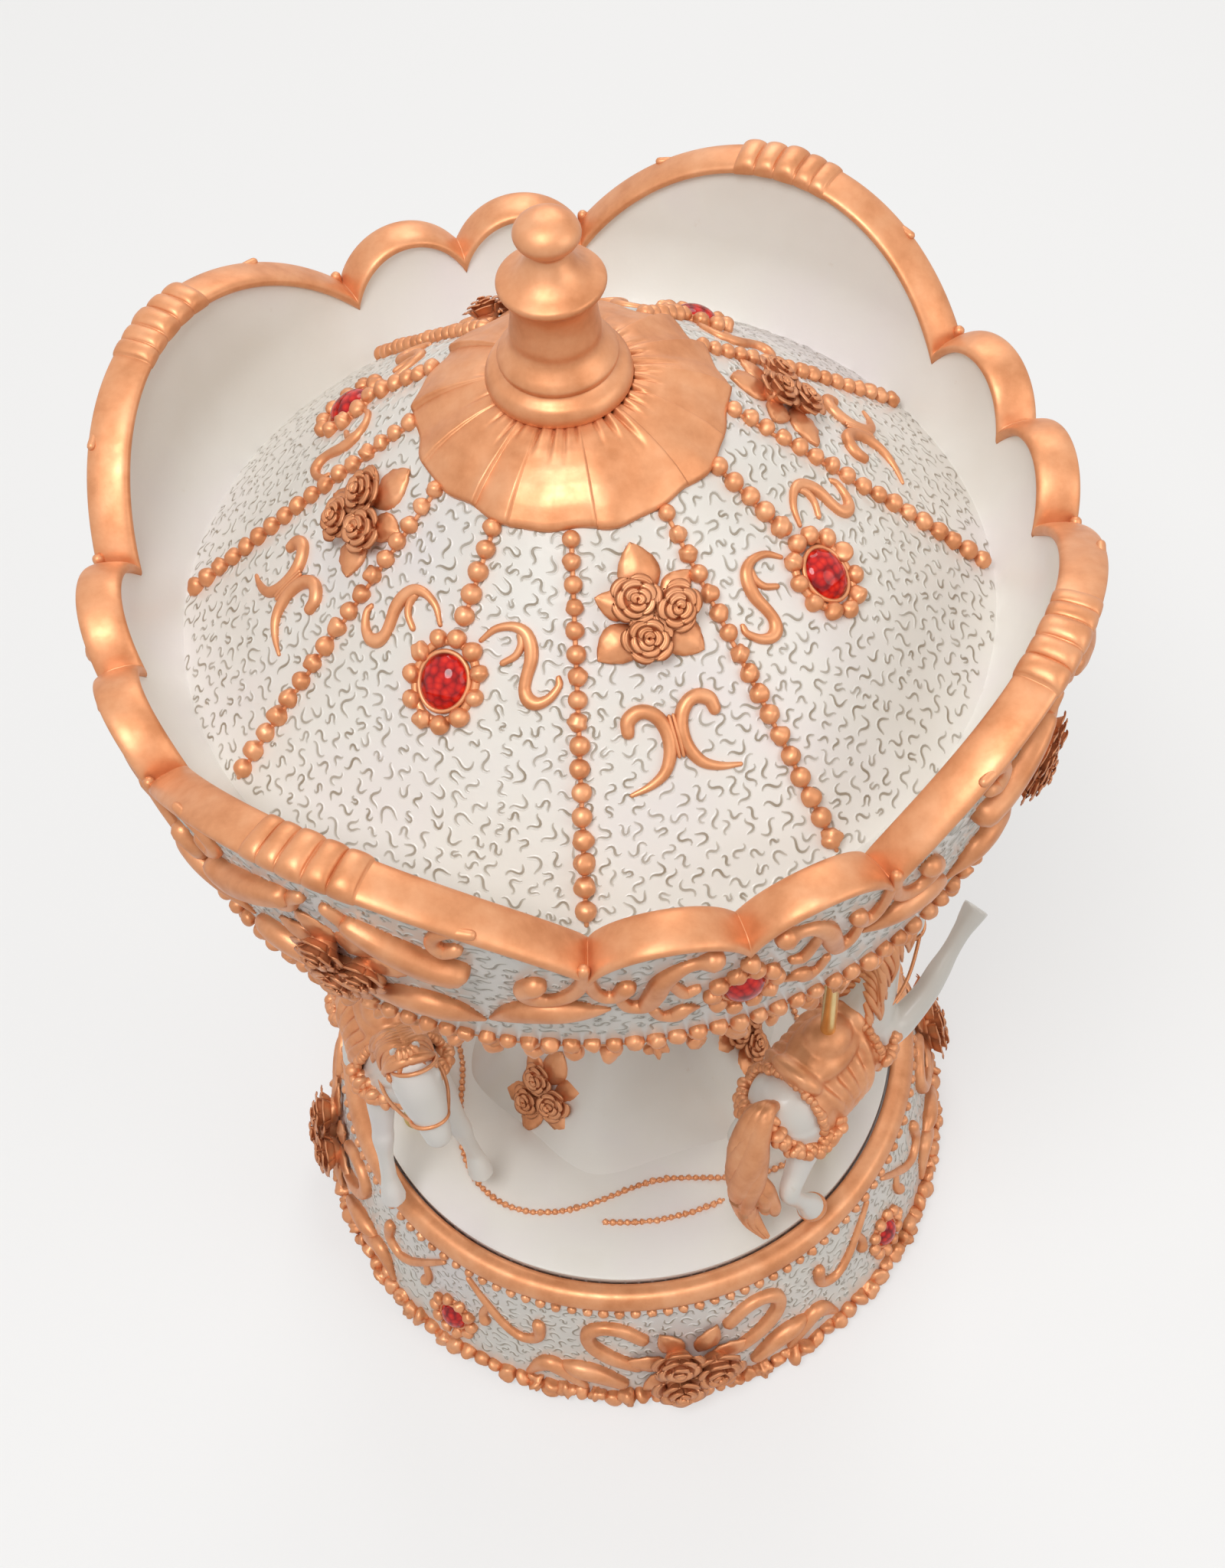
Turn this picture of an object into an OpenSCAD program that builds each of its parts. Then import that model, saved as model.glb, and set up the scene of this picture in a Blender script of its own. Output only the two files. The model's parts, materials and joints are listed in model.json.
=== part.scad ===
// Carousel music box: a crowned canopy, a column and three horses turn on a
// wind-up musical movement that is hidden in the hollow base.
// Origin: on the axis of rotation, at the underside of the base. +Z is up, -Y is the front.

/* [Base] */
// Outer radius of the base at its foot
foot_r = 66.4; // [64.5:0.1:68]
// Outer radius of the base at the top, under the ring
base_top_r = 59.2; // [58.6:0.1:60.2]
// Height of the base flank's upper edge
base_h = 34; // [33.5:0.1:36]
// Thickness of the felt ring under the base
felt_t = 1; // [0.6:0.1:1.6]
// Height of the underside of the bottom cover
cover_z = 12; // [11.5:0.1:12.5]
// Thickness of the bottom cover
cover_t = 1.5; // [1.2:0.1:1.9]
// Thickness of the deck over the movement
deck_t = 2.4; // [2:0.1:2.8]
// Width of the copper ring around the turntable
ring_w = 3.8; // [3.2:0.1:4.4]
// Direction of the rose clusters on the base, in degrees
base_rose_az = -84; // [-100:1:-70]

/* [Turntable] */
// Distance from the base's upper edge in to the turntable's edge
table_inset = 4.6; // [4.4:0.1:6]
// Thickness of the turntable
table_t = 3; // [2.4:0.1:3.6]
// Gap between the turntable and the base
table_gap = 0.6; // [0.4:0.1:1]
// Radius of the brass drive shaft
shaft_r = 3; // [2.6:0.1:3.4]

/* [Column] */
// Radius of the column foot on the turntable
column_foot_r = 33.4; // [30:0.2:33.4]
// Radius of the column at its waist
column_waist_r = 10; // [8:0.5:13]
// Radius of the column head under the ceiling
column_head_r = 19; // [15:0.5:24]
// Number of panels around the column
column_panels = 6; // [5:1:8]
// Radius of the steel rod that ties the column together
rod_r = 1.8; // [1.4:0.1:2.2]

/* [Horses] */
// Distance of the horse poles from the axis
pole_circle_r = 47; // [46:0.5:48]
// Direction of the first horse, in degrees
horse_az = -40; // [-50:1:-30]
// Angle by which the horses head outward, in degrees
horse_yaw = 6; // [0:1:8]
// Radius of a horse pole
pole_r = 1.4; // [1.2:0.1:1.7]
// Height of a horse's back above the turntable
saddle_h = 45; // [42:0.5:50]

/* [Canopy] */
// Height of the canopy's lower edge
crown_z = 161.5; // [158:0.5:165]
// Outer radius of the crown wall at its lower edge
crown_r = 66.8; // [65:0.1:68]
// Outward flare of the crown wall, radius gained per unit of height
crown_flare = 0.14; // [0.1:0.01:0.17]
// Distance from the crown's lower edge in to the roof's edge
roof_inset = 6.3; // [5.3:0.1:7.8]
// Height of the roof's edge above the crown's lower edge
roof_rise = 18.8; // [16.5:0.1:20.5]
// Height of a big arch's peak above the crown's lower edge
big_arch_rise = 44.9; // [41.5:0.1:46.5]
// Height of a small arch's peak above the crown's lower edge
small_arch_rise = 34.3; // [33.5:0.1:34.9]
// Height of the notch between a big and a small arch above the crown's lower edge
notch_rise = 28.5; // [28.3:0.1:29.7]
// Angle from a double arch's middle to its outer notch, in degrees
notch_az = 16.8; // [15:0.1:18]
// Direction of the first double arch, in degrees
crown_az = -76.6; // [-90:0.1:-60]
// Thickness of the crown wall near its rim
crown_wall_t = 4.2; // [3.6:0.1:4.8]
// Thickness of the copper band along the rim
band_t = 2.2; // [1.8:0.1:2.8]
// Thickness of the roof shell
roof_t = 4; // [3:0.1:5]
// Radius of the pleated cap
cap_r = 20.7; // [20:0.1:22]

/* [Movement] */
// Radius of the spring barrel
barrel_r = 13.6; // [13.2:0.1:14]
// Gap between the pinned cylinder's pins and the deck
cylinder_gap = 0.42; // [0.35:0.01:0.8]
// Length of the pinned cylinder
cylinder_l = 25; // [23:0.5:26]
// Number of teeth on the comb
comb_teeth = 18; // [12:1:18]

/* [Hidden] */

horse_count = 3;
crown_wheel_teeth = 48;
pinion_teeth = 8;

$fn = 48;
pearl = "#eee8e2";
copper = "#c9824f";
ruby = "#b3121c";
brass = "#c9a54a";
steel = "#9aa0a6";

// ---- heights and radii worked out from the driving sizes ----
table_r = base_top_r - table_inset;
deck_top = base_h - 0.4;
deck_z = deck_top - deck_t;
ring_in_r = base_top_r - ring_w + 0.3;
table_z = deck_top + table_gap;
table_top = table_z + table_t;
base_slope = (foot_r - base_top_r) / (base_h - felt_t);
cover_r = base_top_r - 1.2;
cavity_r = cover_r - 4;
foot_wall = foot_r - cover_r;
bed_z = cover_z + cover_t;
bed_t = 1.8;
barrel_z = bed_z + bed_t + 1.5;
barrel_h = 0.5 * (deck_z - bed_z) - 3.45;
barrel_top = barrel_z + barrel_h;
tooth_h = 1.2;
wheel_mean_r = barrel_r - 1.7;
pinion_r = wheel_mean_r * pinion_teeth / crown_wheel_teeth;
cyl_z = barrel_top + tooth_h + pinion_r - 0.25;
cyl_x = barrel_r + 2;
arbor_r = 1.5;
pin_h = 0.45;
cylinder_r = deck_z - cyl_z - pin_h - cylinder_gap;
running_gap = 0.05;
clear = 0.3;
ceiling_t = 2.5;
ceiling_z = crown_z + 1.5;
roof_r = crown_r - roof_inset;
roof_z = crown_z + roof_rise;
big_arch_z = crown_z + big_arch_rise;
small_arch_z = crown_z + small_arch_rise;
notch_z = crown_z + notch_rise;
band_proud = 1.1;
seg = 45;
big_half = seg - notch_az;
rim_r = crown_r + crown_flare * (notch_z - crown_z);
rod_top = roof_z + 41.8;

// Radius of the base flank at height z
function flank_r(z) = foot_r - base_slope * (z - felt_t);
// Radius of the crown's outer face at height z
function crown_r_at(z) = crown_r + crown_flare * (z - crown_z);
// Height of the roof's outer surface at radius r
function roof_h(r) = roof_z + (roof_r - r) * 0.955 - pow(roof_r - r, 2) * 0.0014;
// Slope of the roof at radius r, in degrees
function roof_tilt(r) = atan(0.955 - 2 * 0.0014 * (roof_r - r));
// Radius of a rim arch from half its chord and its rise
function arch_radius(half, rise) = (half * half + rise * rise) / (2 * rise);

// ---- shared shapes ----
// Ball with a flat seat: its centre stands sink below or above the seat at z = 0
module ball(r, lift = 0) {
    rotate_extrude()
        intersection() {
            translate([0, lift]) circle(r);
            square([r + 1, r + lift + 1]);
        }
}

// Flat pointed leaf, length along x from the origin
module leaf(l, w, t) {
    big = (l * l / 4 + w * w / 4) / w;
    linear_extrude(t)
        intersection() {
            translate([l / 2, big - w / 2]) circle(big, $fn = 64);
            translate([l / 2, w / 2 - big]) circle(big, $fn = 64);
        }
}

// Rose of radius r: five round petals, an inner ring and a bud
module rose(r) {
    ball(0.62 * r, 0.22 * r);
    translate([0, 0, 0.45 * r]) ball(0.42 * r, 0.12 * r);
    for (k = [0:4])
        rotate([0, 0, 72 * k]) translate([0.58 * r, 0, 0]) ball(0.46 * r, 0.05 * r);
}

// Three roses with leaves, seen with x pointing down the surface
module rose_cluster(r) {
    translate([0, -0.95 * r, 0]) rose(r);
    translate([0, 0.95 * r, 0]) rose(r);
    translate([-1.45 * r, 0, 0]) rose(0.9 * r);
    for (a = [20, 62, 118, 160, 205, 335])
        rotate([0, 0, a - 90]) translate([1.0 * r, 0, 0]) leaf(1.7 * r, 0.9 * r, 0.35 * r);
}

// Half-round scroll arc of radius r and tube radius t from angle a to b, with a ball at the far end
module scroll_arc(r, t, a, b, curl = 1.35) {
    rotate([0, 0, a])
        rotate_extrude(angle = b - a)
            translate([r, 0])
                intersection() {
                    circle(t);
                    translate([-t, 0]) square([2 * t, t]);
                }
    rotate([0, 0, b]) translate([r, 0, 0]) ball(curl * t);
}

// Oval outline of half lengths a (x) and b (y), a > b
module oval(a, b) {
    translate([a - b, 0]) circle(b);
    translate([b - a, 0]) circle(b);
    square([2 * (a - b), 2 * b], center = true);
}

// Domed oval stone of half lengths a and b
module gem(a, b, lift) {
    translate([0, 0, lift])
        intersection() {
            linear_extrude(b) oval(a, b);
            translate([0, 0, -a * 0.85]) sphere(a * 1.42);
        }
}

// Bezel and ring of balls round an oval stone
module gem_setting(a, b, lift, ball_r, balls) {
    linear_extrude(lift) oval(a + 0.4, b + 0.4);
    for (k = [0:balls - 1]) {
        t = 360 * k / balls;
        translate([(a + ball_r * 0.95) * cos(t), (b + ball_r * 0.95) * sin(t), 0])
            ball(ball_r, 0.3 * ball_r);
    }
}

// Puts children on the base flank at azimuth az and height z, x pointing down, z outward
module on_flank(az, z) {
    rotate([0, 0, az]) translate([flank_r(z), 0, z]) rotate([0, 90 - atan(base_slope), 0]) children();
}

// Puts children on the crown's outer face, x pointing down, z outward
module on_crown(az, z) {
    rotate([0, 0, az]) translate([crown_r_at(z), 0, z]) rotate([0, 90 + atan(crown_flare), 0]) children();
}

// Puts children on the roof at azimuth az and radius r, x pointing down the slope, z outward
module on_roof(az, r) {
    rotate([0, 0, az]) translate([r, 0, roof_h(r)]) rotate([0, roof_tilt(r), 0]) children();
}

// ---- base ----
module felt_ring() {
    color("#3b5a3f")
        rotate_extrude() translate([cover_r + 0.12 * foot_wall, 0]) square([0.76 * foot_wall, felt_t]);
}

module base_casting() {
    color(pearl)
        difference() {
            rotate_extrude()
                polygon([
                    [deck_hole_r, deck_z], [cavity_r, deck_z], [cavity_r, bed_z], [cover_r + 0.1, bed_z],
                    [cover_r + 0.1, felt_t], [foot_r, felt_t], [base_top_r, base_h],
                    [ring_in_r, base_h], [ring_in_r, deck_top], [deck_hole_r, deck_top]]);
            for (k = [0:cover_screw_count - 1])
                rotate([0, 0, k * 360 / cover_screw_count])
                    translate([cover_screw_r, 0, bed_z - 1])
                        cylinder(r = cover_screw_shank + running_gap, h = 7);
        }
}
deck_hole_r = shaft_r + 2.6;
cover_screw_count = 4;
cover_screw_shank = 0.9;
cover_screw_r = (cavity_r + cover_r) / 2;

module base_ring() {
    color(copper)
        rotate_extrude()
            translate([base_top_r - ring_w / 2, base_h]) intersection() {
                circle(ring_w / 2 + 1.1);
                translate([-ring_w / 2, 0]) square([ring_w + 0.6, 5]);
            }
}

module base_bead_row() {
    color(copper)
        for (k = [0:119])
            on_flank(3 * k, base_h - 1.3) ball(1, 0.3);
}

// The foot's bead row leaves out the rose clusters; this is the last bead each way from a stone
foot_bead_last = 8;
module base_foot_beads() {
    color(copper)
        for (quarter = [0:3], k = [-foot_bead_last:foot_bead_last])
            on_flank(base_rose_az + seg + 90 * quarter + 4 * k, felt_t + 1.9)
                ball(k % 2 == 0 ? 1.75 : 1.35, 0.2);
}

module base_scrolls() {
    color(copper)
        for (k = [0:3], side = [-1, 1])
            on_flank(base_rose_az + 90 * k + side * 24, base_h / 2 + 1)
                rotate([0, 0, side > 0 ? 0 : 180]) {
                    translate([-4.5, 0, 0]) scroll_arc(4.6, 1, 80, 350);
                    translate([5.2, 0, 0]) scroll_arc(4.4, 1, -100, 170);
                }
}

module base_roses() {
    color(copper)
        for (k = [0:3])
            on_flank(base_rose_az + 90 * k, base_h / 2 - 3) rose_cluster(5.4);
}

base_gem_z = base_h / 2 - 3.5;
module base_gem_settings() {
    color(copper)
        for (k = [0:3])
            on_flank(base_rose_az + seg + 90 * k, base_gem_z) gem_setting(4, 3, 1.2, 1.5, 11);
}

module base_gems() {
    color(ruby)
        for (k = [0:3])
            on_flank(base_rose_az + seg + 90 * k, base_gem_z) gem(4, 3, 1.2);
}

module bottom_cover() {
    color("#6b4a2f")
        difference() {
            translate([0, 0, cover_z]) cylinder(r = cover_r, h = cover_t, $fn = 96);
            translate([0, 0, cover_z - 1]) cylinder(r = arbor_r + 2.5, h = cover_t + 2);
            for (k = [0:cover_screw_count - 1])
                rotate([0, 0, k * 360 / cover_screw_count])
                    translate([cover_screw_r, 0, cover_z - 1])
                        cylinder(r = cover_screw_shank + running_gap, h = cover_t + 2);
            for (p = bed_screw_at)
                translate([p[0], p[1], cover_z - 1])
                    cylinder(r = bed_screw_shank + running_gap, h = cover_t + 2);
        }
}

// Screw pointing up, its head under height z
module screw_up(z, r, l, head_r) {
    translate([0, 0, z]) cylinder(r = r, h = l);
    translate([0, 0, z - 1.2])
        difference() {
            cylinder(r = head_r, h = 1.2);
            translate([-head_r - 1, -0.3, -0.6]) cube([2 * head_r + 2, 0.6, 1.2]);
        }
}

module cover_screws() {
    color(steel)
        for (k = [0:cover_screw_count - 1])
            rotate([0, 0, k * 360 / cover_screw_count])
                translate([cover_screw_r, 0, 0])
                    screw_up(cover_z, cover_screw_shank, cover_t + 5, 2 * cover_screw_shank);
}

// ---- movement ----
bed_x0 = -19;
bed_x1 = cyl_x + cylinder_l + 6;
bed_y = 19;
bed_screw_shank = 1.2;
bed_screw_at = [[-15, 14], [-15, -14], [bed_x1 - 10, -14]];
post_x = barrel_r + clear + 0.1;
post_t = 1.2;
comb_gap = pin_h + 0.4;
comb_y0 = cylinder_r + comb_gap;
comb_y1 = bed_y - 1;
comb_t = 1;
comb_pad_y = comb_y1 - 7;
comb_x0 = cyl_x + 1;
comb_w = cylinder_l - 2;
comb_screw_shank = 0.8;
comb_screw_x = [comb_x0 + comb_w * 0.25, comb_x0 + comb_w * 0.75];
cyl_bear_x = cyl_x + cylinder_l + 2.6;

module bedplate() {
    color("#b8b2a4")
        difference() {
            union() {
                translate([bed_x0, -bed_y, bed_z]) cube([bed_x1 - bed_x0, 2 * bed_y, bed_t]);
                translate([comb_x0, comb_pad_y, bed_z])
                    cube([comb_w, comb_y1 - comb_pad_y, cyl_z - comb_t / 2 - bed_z]);
                translate([cyl_bear_x, -3, bed_z]) cube([2, 6, cyl_z + 2.5 - bed_z]);
                translate([post_x, -2.4, bed_z]) cube([post_t, 4.8, cyl_z + 2.2 - bed_z]);
            }
            translate([0, 0, bed_z - 1]) cylinder(r = arbor_r + running_gap, h = bed_t + 2);
            for (x = [post_x - 1, cyl_bear_x - 1])
                translate([x, 0, cyl_z]) rotate([0, 90, 0]) cylinder(r = 0.8 + running_gap, h = 4);
            for (x = comb_screw_x)
                translate([x, (comb_pad_y + comb_y1) / 2, cyl_z - 5]) cylinder(r = comb_screw_shank, h = 6);
            for (p = bed_screw_at)
                translate([p[0], p[1], bed_z - 1]) cylinder(r = bed_screw_shank + running_gap, h = bed_t + 2);
            translate([fly_x, fly_y, bed_z - 1]) cylinder(r = 0.5 + running_gap, h = bed_t + 2);
        }
}

module bedplate_screws() {
    color(steel)
        for (p = bed_screw_at)
            translate([p[0], p[1], 0])
                screw_up(cover_z, bed_screw_shank, cover_t + bed_t, bed_screw_shank + 1);
}

module comb() {
    pitch = comb_w / comb_teeth;
    color(steel)
        difference() {
            translate([comb_x0, comb_y0, cyl_z - comb_t / 2]) cube([comb_w, comb_y1 - comb_y0, comb_t]);
            for (k = [0:comb_teeth])
                translate([comb_x0 + k * pitch - pitch * 0.14, comb_y0 - 1, cyl_z - comb_t])
                    cube([pitch * 0.28, comb_pad_y - comb_y0, 2 * comb_t]);
            for (x = comb_screw_x)
                translate([x, (comb_pad_y + comb_y1) / 2, cyl_z - 5])
                    cylinder(r = comb_screw_shank + running_gap, h = 8);
        }
}

module comb_screws() {
    color(brass)
        for (x = comb_screw_x)
            translate([x, (comb_pad_y + comb_y1) / 2, cyl_z + comb_t / 2]) {
                translate([0, 0, -4.5]) cylinder(r = comb_screw_shank, h = 4.5);
                difference() {
                    cylinder(r = 1.6, h = 1);
                    translate([-2, -0.25, 0.5]) cube([4, 0.5, 1]);
                }
            }
}

ratchet_r = 6;
ratchet_n = 20;
ratchet_z = bed_z + bed_t + 0.2;

module ratchet_wheel() {
    color(steel)
        translate([0, 0, ratchet_z])
            difference() {
                linear_extrude(0.9)
                    polygon([for (k = [0:ratchet_n - 1], p = [0, 1])
                        let (a = (k + 0.02 * p) * 360 / ratchet_n)
                            (ratchet_r - 0.9 * p) * [cos(a), sin(a)]]);
                translate([0, 0, -1]) cylinder(r = arbor_r, h = 3);
            }
}

module ratchet_click() {
    color(steel)
        translate([0, 0, bed_z + bed_t]) {
            translate([0, ratchet_r + 5, 0]) cylinder(r = 1.1, h = 1.2);
            translate([-7, ratchet_r + 0.4, 0.2]) rotate([0, 0, 32]) cube([9, 0.8, 0.9]);
        }
}

module winding_arbor() {
    color(steel)
        translate([0, 0, cover_z - 5]) cylinder(r = arbor_r, h = barrel_z + barrel_h - 1.3 - cover_z + 5);
}

module winding_key() {
    key_z = felt_t + 1;
    hub_top = cover_z - 0.5;
    color(brass)
        difference() {
            union() {
                translate([0, 0, key_z + 2]) cylinder(r = 2.8, h = hub_top - key_z - 2);
                translate([0, 0.8, key_z + 4.1]) rotate([90, 0, 0]) linear_extrude(1.6)
                    difference() {
                        union() {
                            for (s = [-1, 1]) translate([6 * s, 0]) circle(4.1);
                            square([12, 4.4], center = true);
                        }
                        for (s = [-1, 1]) translate([6.3 * s, 0]) circle(2.3);
                    }
            }
            translate([0, 0, cover_z - 5]) cylinder(r = arbor_r, h = 8);
        }
}

module spring_barrel() {
    color(brass)
        difference() {
            union() {
                translate([0, 0, barrel_z]) cylinder(r = barrel_r, h = barrel_h, $fn = 96);
                for (k = [0:crown_wheel_teeth - 1])
                    rotate([0, 0, 360 * (k + 0.5) / crown_wheel_teeth])
                        translate([wheel_mean_r - 1.3, -0.25, barrel_top - 0.1])
                            cube([2.6, 0.5, tooth_h + 0.1]);
            }
            translate([0, 0, barrel_z - 1]) cylinder(r = barrel_r - 1, h = barrel_h);
            translate([0, 0, barrel_z]) cylinder(r = shaft_r - 0.8, h = barrel_h + 2);
        }
}

module barrel_cover() {
    color(brass)
        translate([0, 0, barrel_z])
            difference() {
                cylinder(r = barrel_r - 1, h = 0.7, $fn = 96);
                translate([0, 0, -1]) cylinder(r = arbor_r + running_gap, h = 3);
            }
}

module mainspring() {
    turns = 6;
    r0 = arbor_r + 0.9;
    r1 = barrel_r - 1.3;
    steps = turns * 20;
    step_r = (r1 - r0) / steps;
    step_a = 360 * turns / steps;
    color("#4a5560")
        translate([0, 0, barrel_z + 0.8])
            linear_extrude(barrel_h - 2.2)
                polygon(concat(
                    [for (k = [0:steps]) (r0 + step_r * k) * [cos(step_a * k), sin(step_a * k)]],
                    [for (k = [steps:-1:0]) (r0 - 0.4 + step_r * k) * [cos(step_a * k), sin(step_a * k)]]));
}

module drive_shaft() {
    color(brass) {
        translate([0, 0, barrel_top]) cylinder(r = shaft_r + 1.5, h = 0.9);
        translate([0, 0, barrel_top]) cylinder(r = shaft_r, h = table_top + 8 - barrel_top);
        translate([0, 0, barrel_top - 1]) cylinder(r = shaft_r - 0.8, h = 1);
    }
}

module deck_bush() {
    color(brass)
        translate([0, 0, deck_z])
            difference() {
                cylinder(r = deck_hole_r, h = deck_t);
                translate([0, 0, -1]) cylinder(r = shaft_r + running_gap, h = deck_t + 2);
            }
}

module thrust_washer() {
    color("#f2f0e6")
        translate([0, 0, deck_top])
            difference() {
                cylinder(r = deck_hole_r + 3, h = table_gap - 0.1);
                translate([0, 0, -1]) cylinder(r = shaft_r + running_gap, h = 3);
            }
}

// Outline of a spur gear with n teeth between radii r0 and r1
module gear_2d(n, r0, r1, share = 0.42) {
    polygon([for (k = [0:n - 1], p = [[-0.5, 0], [-0.28, 1], [0.28, 1], [0.5, 0]])
        (p[1] == 1 ? r1 : r0) * [cos(360 / n * (k + p[0] * share)), sin(360 / n * (k + p[0] * share))]]);
}

module pinned_cylinder() {
    rows = comb_teeth;
    color(brass)
        translate([cyl_x, 0, cyl_z]) rotate([0, 90, 0])
            difference() {
                union() {
                    cylinder(r = cylinder_r, h = cylinder_l, $fn = 64);
                    for (k = [0:rows - 1], j = [0:2])
                        translate([0, 0, (comb_x0 - cyl_x) + (k + 0.5) * comb_w / rows])
                            rotate([0, 0, 360 * (k * 0.382 + j / 3)]) rotate([0, 90, 0])
                                cylinder(r = 0.22, h = cylinder_r + pin_h, $fn = 16);
                }
                translate([0, 0, -1]) cylinder(r = 0.8, h = cylinder_l + 2);
            }
}

gov_big_n = 36;
gov_small_n = 12;
gov_big_r = cylinder_r;
gov_tooth = 0.22;
gov_small_r = gov_big_r * gov_small_n / gov_big_n;
gov_axis_y = -(gov_big_r + gov_small_r);
gov_x = cyl_x + cylinder_l + 0.3;
module cylinder_arbor() {
    color(steel) {
        translate([wheel_mean_r - 2, 0, cyl_z]) rotate([0, 90, 0])
            cylinder(r = 0.8, h = cyl_bear_x + 1.6 - wheel_mean_r + 2);
        translate([wheel_mean_r - 1.3, 0, cyl_z]) rotate([0, 90, 0])
            linear_extrude(2.6) gear_2d(pinion_teeth, pinion_r - 0.7, pinion_r + 0.55, 0.36);
        translate([gov_x, 0, cyl_z]) rotate([0, 90, 0])
            linear_extrude(1.2) gear_2d(gov_big_n, gov_big_r - 0.5, gov_big_r + gov_tooth, 0.7);
    }
}

gov_wheel_r = 0.65 * gov_big_r;
gov_bracket_x = gov_x + 3.4;
fly_y = gov_axis_y - gov_wheel_r - 1.6;
fly_x = gov_x + 1.7;
fly_half = 3.4;
fly_arm_z = deck_z - 3.9;
fly_worm_low = cyl_z - 1.8;
fly_post_y = fly_y - 5.2;
module governor_wheel() {
    color(brass)
        translate([gov_x, gov_axis_y, cyl_z]) rotate([0, 90, 0]) {
            rotate([0, 0, 180 / gov_small_n])
                linear_extrude(1.2) gear_2d(gov_small_n, gov_small_r - 0.5, gov_small_r + gov_tooth, 0.7);
            translate([0, 0, 1.2]) linear_extrude(1) gear_2d(16, gov_wheel_r - 0.5, gov_wheel_r);
            translate([0, 0, -1.5]) cylinder(r = 0.5, h = 6.2);
        }
}

module governor_fly() {
    color(steel)
        translate([fly_x, fly_y, 0]) {
            translate([0, 0, bed_z + 0.6]) cylinder(r = 0.5, h = deck_z - 1.1 - bed_z);
            translate([0, 0, fly_worm_low]) cylinder(r = 1.2, h = fly_arm_z - 0.4 - fly_worm_low);
            translate([-fly_half, -0.3, deck_z - 2.3]) cube([2 * fly_half, 0.6, 1.8]);
        }
}

// Foot plate with a post for the wheel's arbor and an arm for the fly's
module governor_bracket() {
    low = bed_z + bed_t;
    color(brass)
        difference() {
            union() {
                translate([gov_bracket_x, gov_axis_y - 3, low]) cube([1.2, 6, cyl_z + 2 - low]);
                translate([fly_x - 1, fly_post_y, low])
                    cube([gov_bracket_x + 2.2 - fly_x, gov_axis_y + 3 - fly_post_y, 0.8]);
                translate([fly_x - 1, fly_post_y, low]) cube([2, 1.2, fly_arm_z + 1 - low]);
                translate([fly_x - 1, fly_post_y, fly_arm_z]) cube([2, fly_y + 1 - fly_post_y, 1]);
            }
            translate([gov_bracket_x - 1, gov_axis_y, cyl_z])
                rotate([0, 90, 0]) cylinder(r = 0.5 + running_gap, h = 4);
            translate([fly_x, fly_y, low - 1]) cylinder(r = 0.5 + running_gap, h = fly_arm_z + 3 - low);
        }
}

// ---- turntable and column ----
module turntable() {
    color(pearl)
        difference() {
            translate([0, 0, table_z]) cylinder(r = table_r, h = table_t, $fn = 96);
            translate([0, 0, table_z - 1]) cylinder(r = shaft_r, h = table_t + 2);
            for (k = [0:horse_count - 1])
                rotate([0, 0, horse_az + 360 / horse_count * k])
                    translate([pole_circle_r, 0, table_z + 1]) cylinder(r = pole_r, h = table_t);
        }
}

// Faces of a closed skin through rings of points, each ring with the same number of sides
function skin_faces(rings, sides) = concat(
    [[for (j = [0:sides - 1]) j]],
    [[for (j = [sides - 1:-1:0]) (rings - 1) * sides + j]],
    [for (i = [0:rings - 2], j = [0:sides - 1])
        let (low = i * sides, high = low + sides, next = (j + 1) % sides)
            [low + j, high + j, high + next, low + next]]);

// Radius of the column's ridges at the share u of its height
function column_r(u) = u < 0.45
    ? column_waist_r + (column_foot_r - column_waist_r) * pow(1 - u / 0.45, 2.6)
    : column_waist_r + (column_head_r - column_waist_r) * pow((u - 0.45) / 0.55, 2.4);
column_h = ceiling_z - table_top;
column_fluting = 0.1;

module column() {
    sides = column_panels * 4;
    steps = 12;
    us = [for (i = [0:steps]) pow(i / steps, 1.25)];
    pts = [for (u = us, j = [0:sides - 1])
        let (a = 360 * j / sides)
        let (r = column_r(u) * (1 - column_fluting * pow(cos(column_panels * a / 2), 2)))
            [r * cos(a), r * sin(a), table_top + u * column_h]];
    color(pearl)
        difference() {
            rotate([0, 0, crown_az]) polyhedron(pts, skin_faces(steps + 1, sides));
            translate([0, 0, table_top - 1]) cylinder(r = shaft_r + 0.05, h = 10);
            translate([0, 0, table_top - 1]) cylinder(r = rod_r + 0.05, h = column_h + 2);
        }
}

// Tilt of the column's face at the share u of its height
function ridge_tilt(u) = 90 - atan((column_r(u) - column_r(u + 0.02)) / (0.02 * column_h));
column_rose_u = 0.054;

module column_roses() {
    seat = column_r(column_rose_u) * (1 - column_fluting) + clear + 0.4;
    color(copper)
        for (k = [0:2])
            rotate([0, 0, crown_az - 60 + 120 * k])
                translate([seat, 0, table_top + column_rose_u * column_h])
                    rotate([0, ridge_tilt(column_rose_u), 0]) rose_cluster(2.4);
}

// Radius of the bead border at angle a from a rose cluster of the base: four lobes
function border_r(a) = column_foot_r + 6.9 - 5.5 * cos(4 * a);
border_beads = 112;
outer_border_r = column_foot_r + 9.6;

// Bead on the turntable, left out where a horse pole stands
module table_bead(a, r, bead_r) {
    from_poles = [for (k = [0:horse_count - 1])
        let (pole_a = horse_az + 360 / horse_count * k)
            norm([r * cos(a) - pole_circle_r * cos(pole_a), r * sin(a) - pole_circle_r * sin(pole_a)])];
    if (min(from_poles) > pole_r + bead_r + 0.3)
        rotate([0, 0, a]) translate([r, 0, table_top]) ball(bead_r, 0.35);
}

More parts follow.
